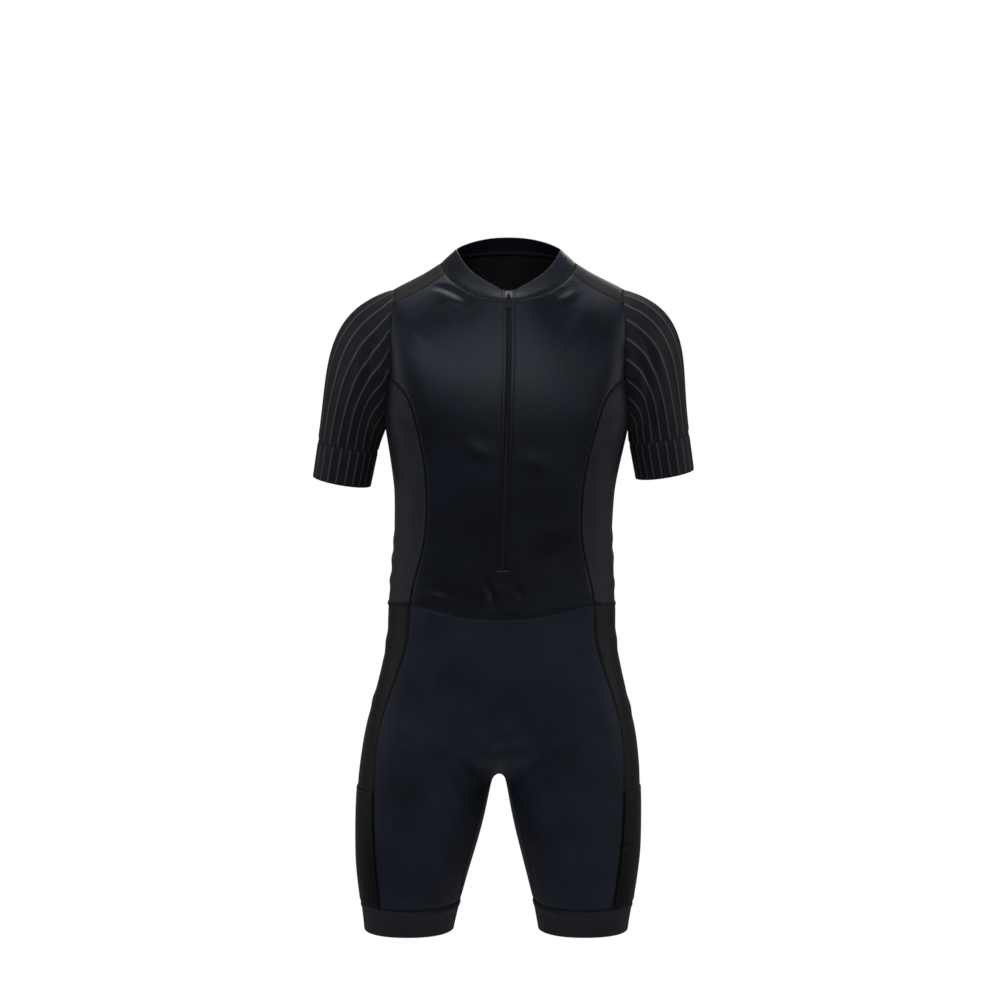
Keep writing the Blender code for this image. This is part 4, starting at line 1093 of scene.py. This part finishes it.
def sew_zigzag(bm, run, width, pitch, radius):
    """Thread to and fro across a seam."""
    tips = [
        on_cloth(point + inwards.normalized() * width * (-1) ** i, 0.5 * radius)
        for i, (point, inwards) in enumerate(even_stops(run, pitch / 2))
    ]
    for (a, normal), (b, _) in zip(tips, tips[1:]):
        lay_stitch(bm, a, b, normal, radius)


def piece(name, bm):
    """An object made from a bmesh, smooth shaded, riding on the suit."""
    obj = make_object(name, keep(bm, bpy.data.meshes.new(name)))
    obj.data.shade_smooth()
    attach(obj, "suit")
    return obj


# %% [markdown]
# ## Sew the seams
#
# The borders moved when the cloth was shaped, so their runs are found again. The seams are sewn in
# four pieces, each over its own part of the suit, in thread that matches the cloth.

# %% Flat seams
SEAM_PITCH = 3.0 * MM
SEAM_ZIGZAG = 1.5 * MM
SEAM_ROW = 2.3 * MM
THREAD = 0.22 * MM
THREAD_GROUPS = {
    "body_thread": ("front_panel", "back_panel", "side_panel_left", "side_panel_right", "collar"),
    "sleeve_thread": ("sleeve_left", "sleeve_right", "cuff_left", "cuff_right"),
    "shorts_thread": ("shorts_front", "shorts_seat", "inner_leg_panel"),
    "leg_thread": ("thigh_side_left", "thigh_side_right", "leg_band_left", "leg_band_right"),
}


def group_of(panels):
    """The last group that has one of the panels, so the sleeve's thread sews the armhole."""
    return [name for name, members in THREAD_GROUPS.items() if set(panels) & set(members)][-1]


seams, hems = border_runs()
sewn_tree = body_tree(cloth)
threads = {name: bmesh.new() for name in THREAD_GROUPS}
sewn = 0.0
for panels, found in seams.items():
    for run in found:
        part = bmesh.new()
        sew_zigzag(part, run, SEAM_ZIGZAG, SEAM_PITCH, THREAD)
        for offset in (SEAM_ROW, -SEAM_ROW):
            sew_row(part, run, offset, SEAM_PITCH, THREAD)
        pour(part, threads[group_of(panels)])
        sewn += sum((a[0] - b[0]).length for a, b in zip(run, run[1:]))
print("seams:", len(seams), "length:", round(sewn, 2), "m")
print("faces:", {name: len(bm.faces) for name, bm in threads.items()})

# %% [markdown]
# ## Seam allowances
#
# Behind every seam lie the overlocked edges of the two panels. They are a strip on the inside, and
# they keep the light from showing through between the panels. Each strip is a grid of three rows
# that follows the cloth on both sides of the seam.

# %% Strips behind the seams
ALLOWANCE_HALF = 3.2 * MM
ALLOWANCE_DEPTH = 1.1 * MM
ALLOWANCE_THICKNESS = 0.7 * MM
STRIP_PITCH = 5 * MM
STRIP_PAST_END = 3.5 * MM


def bent_strip(columns, rows, flat_of, place_of, outwardness, thickness):
    """A closed strip of cloth: a grid, laid flat by flat_of, bent by place_of and made thick."""
    part = bmesh.new()
    bmesh.ops.create_grid(part, x_segments=columns, y_segments=rows, size=0.5, calc_uvs=False)
    flat = part.loops.layers.uv.new("cloth")
    for face in part.faces:
        for loop in face.loops:
            loop[flat].uv = flat_of(loop.vert.co.x + 0.5, loop.vert.co.y + 0.5)
    for vert in part.verts:
        vert.co = place_of(vert.co.x + 0.5, vert.co.y + 0.5)
    part.normal_update()
    if sum(outwardness(face) for face in part.faces) < 0:
        bmesh.ops.reverse_faces(part, faces=part.faces)
    bmesh.ops.solidify(part, geom=part.faces, thickness=thickness)
    return part


def strip_behind(run):
    """A strip behind a seam, a little longer than the seam at both ends."""
    stops = even_stops(run, STRIP_PITCH)
    (first, inwards), (last, inwards_there) = stops[0], stops[-1]
    stops.insert(0, (first + (first - stops[1][0]).normalized() * STRIP_PAST_END, inwards))
    stops.append((last + (last - stops[-2][0]).normalized() * STRIP_PAST_END, inwards_there))

    def flat_of(u, v):
        return (2 * u - 1) * ALLOWANCE_HALF, v * STRIP_PITCH * len(stops)

    def place_of(u, v):
        point, inwards = stops[round(v * (len(stops) - 1))]
        return on_cloth(point + inwards.normalized() * (2 * u - 1) * ALLOWANCE_HALF, -ALLOWANCE_DEPTH)[0]

    def outwardness(face):
        return face.normal.dot(on_cloth(face.calc_center_median(), 0)[1])

    return bent_strip(2, len(stops) - 1, flat_of, place_of, outwardness, ALLOWANCE_THICKNESS)


allowances = bmesh.new()
allowances.loops.layers.uv.new("cloth")
for found in seams.values():
    for run in found:
        pour(strip_behind(run), allowances)
print("seam allowance faces:", len(allowances.faces))

# %% [markdown]
# ## Hems
#
# The cuffs, the collar and the leg bands are turned under and held by rows of stitches. The cuff
# has a second row higher up. The pockets lie on the thighs, and a double row of stitches runs all
# round each.

# %% Hem rows
HEM_ROWS = {"cuff": (3, 5.5, 24), "leg_band": (3, 38), "collar": (3,)}
POCKET_ROWS = (2.2, 5.0)
HEM_PITCH = 2.8 * MM


def on_zip_slot(stop):
    return abs(off_zip(stop[0])) < SLOT_HALF and stop[0].y < CHEST_Y


for node, found in hems.items():
    rows = next((rows for start, rows in HEM_ROWS.items() if node.startswith(start)), ())
    for run in found:
        run = [stop for stop in run if not on_zip_slot(stop)]
        for offset in rows:
            sew_row(threads[group_of([node])], run, offset * MM, HEM_PITCH, THREAD)

for node in ("pocket_left", "pocket_right"):
    bm = opened(cloth[node].data)
    bm.normal_update()
    loop = border_loops(bm)[0]
    middle = sum((v.co for v in loop), Vector()) / len(loop)
    run = [(v.co.copy(), v.normal.copy(), (middle - v.co).normalized()) for v in loop + loop[:1]]
    bm.free()
    for offset in POCKET_ROWS:
        sew_row(threads["leg_thread"], run, offset * MM, HEM_PITCH, THREAD)

# %% [markdown]
# ## Top stitching beside the zip
#
# A row of stitches on each side holds the folded edge and the zip's tape. The rows stand a little
# further apart at the top than at the bottom, where a stitched box closes the zip's end.

# %% Rows beside the zip and the box at its foot
TOP_ROW_FROM_MIDDLE = 10.5 * MM
FOOT_ROW_FROM_MIDDLE = 9 * MM
BOX_ABOVE_FOOT = 9 * MM
BOX_BELOW_FOOT = 16 * MM
BOX_HALF_WIDTH = 11 * MM
ZIP_PITCH = 2.6 * MM


def stops_of(points):
    return [(Vector(point), None, Vector()) for point in points]


def row_from_middle(share):
    return FOOT_ROW_FROM_MIDDLE + (TOP_ROW_FROM_MIDDLE - FOOT_ROW_FROM_MIDDLE) * share


zip_rows = bmesh.new()
for side in (-1, 1):
    row = zip_line + np.outer(side * row_from_middle(np.linspace(0, 1, len(zip_line))), RIGHT)
    sew_row(zip_rows, stops_of(row), 0.0, ZIP_PITCH, THREAD)
foot = Vector(zip_line[0])
corners = [
    foot + Vector((x, 0, z))
    for x, z in (
        (-BOX_HALF_WIDTH, BOX_ABOVE_FOOT), (BOX_HALF_WIDTH, BOX_ABOVE_FOOT),
        (BOX_HALF_WIDTH, -BOX_BELOW_FOOT), (-BOX_HALF_WIDTH, -BOX_BELOW_FOOT),
    )
]
for a, b in zip(corners, corners[1:] + corners[:1]):
    sew_row(zip_rows, stops_of([a.lerp(b, t / 8) for t in range(9)]), 0.0, ZIP_PITCH, THREAD)
print("stitches beside the zip:", len(zip_rows.faces) // len(grain.polygons))

# %% [markdown]
# ## Facing beside the zip
#
# The folded cloth beside the zip is double, so it stands a little higher than the panel and ends
# in a sharp line on each side. It is a strip on each side of the teeth, and a small square patch
# closes the zip's foot.

# %% Facing strips and the patch at the foot
FACING_INNER = 2.5 * MM
FACING_RAISED = 0.45 * MM
FACING_THICKNESS = 0.55 * MM
FACING_PAST_ROW = 1.6 * MM
FACING_WIDTH = 8 * MM
CLOTH_FROM = 3.4 * MM
EDGE_DROP = 0.35 * MM
PATCH_HALF = (9.5 * MM, 10.5 * MM)
PATCH_DROP = 3.5 * MM
PATCH_RAISED = 0.8 * MM
PATCH_EDGE_DROP = 0.5 * MM


def looks_forward(face):
    return -face.normal.y


def facing(side):
    """The double cloth on one side of the teeth. Below it, the panel starts at CLOTH_FROM."""

    def flat_of(u, v):
        return u * FACING_WIDTH, v * zip_length

    def place_of(u, v):
        off = FACING_INNER + (row_from_middle(v) - FACING_PAST_ROW - FACING_INNER) * u
        place, normal = on_cloth(zip_frame(v)[0] + RIGHT * side * max(off, CLOTH_FROM), 0)
        raised = FACING_RAISED - EDGE_DROP * abs(2 * u - 1) ** 6
        return place + RIGHT * side * min(off - CLOTH_FROM, 0) + normal * raised

    return bent_strip(5, ZIP_STEPS // 2, flat_of, place_of, looks_forward, FACING_THICKNESS)


def foot_patch():
    def flat_of(u, v):
        return 2 * u * PATCH_HALF[0], 2 * v * PATCH_HALF[1]

    def place_of(u, v):
        over = Vector(((2 * u - 1) * PATCH_HALF[0], 0, (2 * v - 1) * PATCH_HALF[1] - PATCH_DROP))
        place, normal = on_cloth(foot + over, 0)
        edge = max(abs(2 * u - 1), abs(2 * v - 1)) ** 8
        return place + normal * (PATCH_RAISED - PATCH_EDGE_DROP * edge)

    return bent_strip(8, 8, flat_of, place_of, looks_forward, FACING_THICKNESS)


facings = {"zip_facing_left": facing(1), "zip_facing_right": facing(-1), "zip_foot_patch": foot_patch()}
print("facing faces:", {name: len(part.faces) for name, part in facings.items()})

# %% [markdown]
# ## Give the cloth its thickness
#
# Until now every piece is an open sheet. Solidify adds the inner side and closes the rim, and a
# small bevel rounds the cut edges, so each seam shows as a soft valley and each hem catches light.

# %% Thickness and rounded edges
THICKNESS = {"collar": 1.7, "leg_band": 1.7, "pocket": 0.8}
PLAIN_THICKNESS = 1.2


def thickness_of(node):
    return next((value for start, value in THICKNESS.items() if node.startswith(start)), PLAIN_THICKNESS) * MM


def thicken(node):
    obj = cloth[node]
    wall = obj.modifiers.new("wall", "SOLIDIFY")
    wall.thickness = thickness_of(node)
    wall.offset = -1.0
    wall.use_even_offset = False
    rounding = obj.modifiers.new("rounding", "BEVEL")
    rounding.width = 0.3 * thickness_of(node)
    rounding.segments = 2
    rounding.limit_method = "ANGLE"
    rounding.angle_limit = math.radians(62)
    mesh = applied(obj)
    mesh.shade_smooth()
    return len(mesh.polygons)


print("faces with thickness:", {node: thicken(node) for node in cloth})

# %% [markdown]
# ## Coil zip
#
# The zip has two woven tapes that lie behind the panel's folded edges, and a coil of nylon on each.
# The coils' loops mesh in the middle, half a step apart. Each tape is a flat grid that is bent onto
# the middle line. The loops are grains like the stitches, only thicker. The slider and its pull
# stay as they are packed, because they are small hard parts with the right shape.

# %% Tapes and coils
TAPE_WIDTH = 11.5 * MM
TAPE_THICKNESS = 0.6 * MM
TAPE_DEPTH = 1.5 * MM
TAPE_FROM_MIDDLE = 0.4 * MM
COIL_PITCH = 1.5 * MM
COIL_RADIUS = 0.5 * MM
COIL_REACH = (-0.45 * MM, 2.1 * MM)
COIL_DEPTH = 0.75 * MM


def zip_tape(side):
    def flat_of(u, v):
        return u * TAPE_WIDTH, v * zip_length

    def place_of(u, v):
        place, out = zip_frame(v)
        return place + RIGHT * side * (TAPE_FROM_MIDDLE + u * TAPE_WIDTH) - out * TAPE_DEPTH

    return bent_strip(6, ZIP_STEPS // 2, flat_of, place_of, looks_forward, TAPE_THICKNESS)


tapes = {}
for side, node in ((1, "zip_tape_left"), (-1, "zip_tape_right")):
    tapes[node] = piece(f"{node}_woven", zip_tape(side))
    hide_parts(node)

coil = bmesh.new()
for side in (-1, 1):
    for k in range(int(zip_length / COIL_PITCH) - 1):
        place, out = zip_frame((k + 0.75 + 0.25 * side) * COIL_PITCH / zip_length)
        inner, outer = (place - out * COIL_DEPTH + RIGHT * side * reach for reach in COIL_REACH)
        lay_stitch(coil, inner, outer, out, COIL_RADIUS)
coil = piece("zip_coil", coil)
stitches = {name: piece(name, bm) for name, bm in threads.items()}
stitches["zip_thread"] = piece("zip_thread", zip_rows)
seam_strips = piece("seam_allowances", allowances)
facings = {name: piece(name, part) for name, part in facings.items()}
print("coil faces:", len(coil.data.polygons))

# %% [markdown]
# ## Cloth finishes
#
# All these cloths are warp knits: fine columns of loops that run along the body. A knit has three
# scales. The loops give a tiny bump and tell the shine where to break. The thread pulls the cloth
# beside a seam, which ripples it. And a worn suit is a little paler where it is rubbed. The black
# is never fully black: the body cloth is a blue black, the shorts are navy, the thigh sides are
# brown black and shiny, the sleeves are charcoal with ribs that carry a painted highlight, and the
# shoulders are an open brown black mesh. The side panels are the body cloth, a little greyer and
# painted paler as a painted sheen of the side lamps.

# %% Knit cloth
COLUMNS, ROWS, RIPPLES, FIBRES = 0.6, 0.4, 7.0, 0.5


def knit_bump(finish, place, loop, ripple_size, depth):
    """Bump from the knit's columns and rows, and from the ripples that a seam pulls into the cloth."""
    columns = finish.waves(place, loop, "X")
    rows = finish.waves(place, loop * 1.2, "Y")
    near = finish.attribute("near_seam")
    ripples = finish.noise(place, ripple_size, 1.0)
    fibres = finish.noise(place, 0.4 * MM)
    height = columns * COLUMNS + rows * ROWS + near * ripples * RIPPLES + fibres * FIBRES
    return finish.bump(height, 1.0, depth)


def seam_shadow(finish):
    """1 on open cloth and 0 in the valley of a seam, where little light gets in."""
    near = finish.attribute("near_seam")
    return finish.range(near, 0.86, 0.985, 1.0, 0.0)


def knit_cloth(
    name, dark, pale, roughness, loop=0.9 * MM, depth=0.09 * MM,
    sheen=0.02, gloss=0.22, tint=(0.5, 0.55, 0.7), **more,
):
    """A knit between two colours and two roughnesses, with any other shader values in more."""
    finish = Finish(name)
    place = finish.cloth_place()
    worn = finish.noise(finish.place(), 60 * MM, 3.0)
    yarn = finish.noise(place, 0.7 * MM, 2.0)
    shade = finish.range(worn * 0.6 + yarn * 0.4, 0.35, 0.65)
    open_cloth = seam_shadow(finish)
    finish.wear(
        base_color=finish.blend((0.4 + 0.6 * shade) * open_cloth, dark, pale),
        roughness=roughness[0] + (roughness[1] - roughness[0]) * shade + 0.3 * (1 - open_cloth),
        normal=knit_bump(finish, place, loop, 5 * MM, depth),
        sheen_weight=sheen, sheen_roughness=0.45, sheen_tint=(*tint, 1.0),
        specular_ior_level=gloss, specular_tint=(0.78, 0.87, 1.0, 1.0), **more,
    )
    return finish


body_finish = knit_cloth(
    "body_knit", (0.0022, 0.0026, 0.0046), (0.0080, 0.0100, 0.0180), (0.29, 0.37), gloss=0.26,
)
allowance_finish = knit_cloth(
    "overlocked_edge", (0.0020, 0.0020, 0.0026), (0.0055, 0.0058, 0.0075), (0.6, 0.7),
)
# The side panels are the body cloth: a little greyer, and painted paler as a painted sheen of the side lamps.
side_painted_paler_finish = knit_cloth(
    "side_knit_painted_paler", (0.0030, 0.0032, 0.0042), (0.0135, 0.0145, 0.0180), (0.42, 0.5), sheen=0.04,
)
shorts_finish = knit_cloth(
    "shorts_knit", (0.0034, 0.0040, 0.0075), (0.0140, 0.0172, 0.0290), (0.48, 0.56), gloss=0.2,
)
thigh_finish = knit_cloth(
    "thigh_knit", (0.0016, 0.0012, 0.0012), (0.0062, 0.0048, 0.0050), (0.3, 0.38),
    sheen=0.0, gloss=0.13, tint=(0.7, 0.6, 0.5), coat_weight=0.02, coat_roughness=0.25,
)
band_finish = knit_cloth(
    "band_knit", (0.0060, 0.0062, 0.0078), (0.0180, 0.0190, 0.0250), (0.55, 0.65),
    gloss=0.2, loop=1.4 * MM, depth=0.12 * MM, tint=(0.6, 0.55, 0.5),
)

# %% [markdown]
# ## Mesh and ribs
#
# The shoulder cloth is an open mesh. Its holes are far smaller than a picture element, so they are
# drawn as a fine pattern of dark dots rather than cut. The sleeves' ribs are picked out by their
# attribute: their ridges are painted much paler than the ground, as a highlight along each rib.

# %% Shoulder mesh and ribbed sleeves
MESH_HOLE = 1.6 * MM


def mesh_cloth(name):
    finish = Finish(name)
    place = finish.cloth_place()
    inputs = {"Vector": place, "Scale": 1 / MESH_HOLE, "Randomness": 0.35}
    holes = finish.node("TexVoronoi", {"feature": "F1"}, inputs)
    yarn = finish.range(holes, 0.22, 0.42)
    worn = finish.range(finish.noise(finish.place(), 50 * MM, 3.0), 0.35, 0.65)
    near = finish.attribute("near_seam")
    height = yarn + near * finish.noise(place, 5 * MM, 1.0) * 4.0
    shade = yarn * (0.55 + 0.45 * worn)
    finish.wear(
        base_color=finish.blend(shade, (0.0035, 0.0028, 0.0029), (0.0215, 0.0160, 0.0168)),
        roughness=0.62 - 0.16 * yarn,
        normal=finish.bump(height, 1.0, 0.12 * MM),
        sheen_weight=0.04, sheen_roughness=0.5, sheen_tint=(0.75, 0.6, 0.6, 1.0), specular_ior_level=0.2,
    )
    return finish


def ribbed_cloth(name):
    finish = Finish(name)
    place = finish.cloth_place()
    rib = finish.attribute("rib")
    ridge = finish.range(rib, 0.78, 0.98)
    worn = finish.noise(finish.place(), 40 * MM, 3.0)
    # The ridges' paler colour is a painted highlight along each rib, varied a little at random.
    shade = ridge * (0.75 + 0.5 * (worn - 0.5))
    finish.wear(
        base_color=finish.blend(shade, (0.0080, 0.0090, 0.0125), (0.085, 0.088, 0.098)),
        roughness=0.6 - 0.12 * ridge,
        normal=knit_bump(finish, place, 0.8 * MM, 5 * MM, 0.06 * MM),
        sheen_weight=0.03, sheen_roughness=0.5, sheen_tint=(0.7, 0.7, 0.75, 1.0), specular_ior_level=0.14,
    )
    return finish


shoulder_finish = mesh_cloth("shoulder_mesh")
sleeve_finish = ribbed_cloth("ribbed_knit")

# %% [markdown]
# ## Thread, zip and metal
#
# The thread's colour and shine vary with a fine fuzz. The tape is woven in a herringbone. The
# nylon coil is smooth and catches a little light. The slider and its pull are black enamel that is
# rubbed paler here and there.

# %% Thread, tape, coil and enamel
thread_finish = Finish("polyester_thread")
fuzz = thread_finish.noise(thread_finish.place(), 0.3 * MM, 2.0)
thread_finish.wear(
    base_color=thread_finish.blend(fuzz, (0.0045, 0.0048, 0.0062), (0.0160, 0.0175, 0.0225)),
    roughness=0.45 + 0.2 * fuzz, normal=thread_finish.bump(fuzz, 1.0, 0.05 * MM),
    sheen_weight=0.02, sheen_roughness=0.4,
)

tape_finish = Finish("herringbone_tape")
tape_place = tape_finish.cloth_place()
slant = tape_finish.waves(tape_place, 1.1 * MM, "DIAGONAL")
chevron = tape_finish.waves(tape_place, 2.4 * MM, "X", "SAW")
weave = slant * 0.6 + chevron * 0.4
tape_finish.wear(
    base_color=tape_finish.blend(weave, (0.004, 0.004, 0.0045), (0.010, 0.010, 0.011)),
    roughness=0.75 - 0.1 * weave, normal=tape_finish.bump(weave, 1.0, 0.12 * MM),
    sheen_weight=0.02, sheen_roughness=0.5,
)

coil_finish = Finish("nylon_coil")
drawn = coil_finish.noise(coil_finish.place(), 2 * MM, 2.0)
coil_finish.wear(
    base_color=coil_finish.blend(drawn, (0.006, 0.006, 0.007), (0.014, 0.014, 0.016)),
    roughness=0.28 + 0.14 * drawn, normal=coil_finish.bump(drawn, 0.4, 0.03 * MM),
)

enamel_finish = Finish("black_enamel")
rubbed = enamel_finish.range(enamel_finish.noise(enamel_finish.place(), 3 * MM, 4.0), 0.58, 0.72)
enamel_finish.wear(
    base_color=enamel_finish.blend(rubbed, (0.008, 0.008, 0.009), (0.045, 0.045, 0.048)),
    roughness=0.34 + 0.16 * rubbed, metallic=0.5 * rubbed,
    coat_weight=0.05, coat_roughness=0.25, specular_ior_level=0.3,
    normal=enamel_finish.bump(enamel_finish.noise(enamel_finish.place(), 0.8 * MM), 0.3, 0.03 * MM),
)

# %% [markdown]
# ## Dress every piece
#
# Each piece takes its finish and rides on the suit, and the packed panel it replaces is hidden.
# The size that each sheet was cut to is gathered and printed: the flat map's width and length, and
# the area of one side.

# %% Finish and replace
SLOTS = {
    # start of the node's name: (finish, material slot)
    "front_panel": (body_finish, "body_cloth"),
    "side_panel": (side_painted_paler_finish, "body_cloth"),
    "collar": (body_finish, "body_cloth"),
    "back_panel": (shoulder_finish, "shoulder_mesh"),
    "sleeve": (sleeve_finish, "sleeve_rib"),
    "cuff": (sleeve_finish, "sleeve_rib"),
    "shorts": (shorts_finish, "shorts_cloth"),
    "inner_leg": (shorts_finish, "shorts_cloth"),
    "thigh_side": (thigh_finish, "thigh_side_cloth"),
    "pocket": (thigh_finish, "thigh_side_cloth"),
    "leg_band": (band_finish, "leg_band_cloth"),
}
NEIGHBOURS = {}
for a, b in seams:
    NEIGHBOURS.setdefault(a, []).append(b)
    NEIGHBOURS.setdefault(b, []).append(a)
WITH = {
    "front_panel": [coil, stitches["zip_thread"], *tapes.values(), *facings.values()],
    "back_panel": [stitches["body_thread"], seam_strips],
    "sleeve_left": [stitches["sleeve_thread"]],
    "shorts_front": [stitches["shorts_thread"]],
    "thigh_side_left": [stitches["leg_thread"]],
}


def put_on(obj, finish, slot):
    obj.data.materials.clear()
    obj.data.materials.append(finish.material)


cut_sizes = {}
for node, obj in cloth.items():
    finish, slot = next(value for start, value in SLOTS.items() if node.startswith(start))
    put_on(obj, finish, slot)
    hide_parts(node)
    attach(obj, "suit")
    width, length, area = flat_size[node]
    cut_sizes[node] = [round(v, 4) for v in (width, length, area)]
    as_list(WITH.get(node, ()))
for tape in tapes.values():
    put_on(tape, tape_finish, "zip_tape")
put_on(coil, coil_finish, "zip_tape")
put_on(seam_strips, allowance_finish, "body_cloth")
for strip in facings.values():
    put_on(strip, body_finish, "body_cloth")
for name, slot in (
    ("body_thread", "body_cloth"), ("sleeve_thread", "sleeve_rib"), ("shorts_thread", "shorts_cloth"),
    ("leg_thread", "thigh_side_cloth"), ("zip_thread", "body_cloth"),
):
    put_on(stitches[name], thread_finish, slot)
for node in ("zip_slider", "zip_pull"):
    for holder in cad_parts[node].material_slots:
        holder.material = enamel_finish.material
print("cut sizes (width, length, area):", cut_sizes)
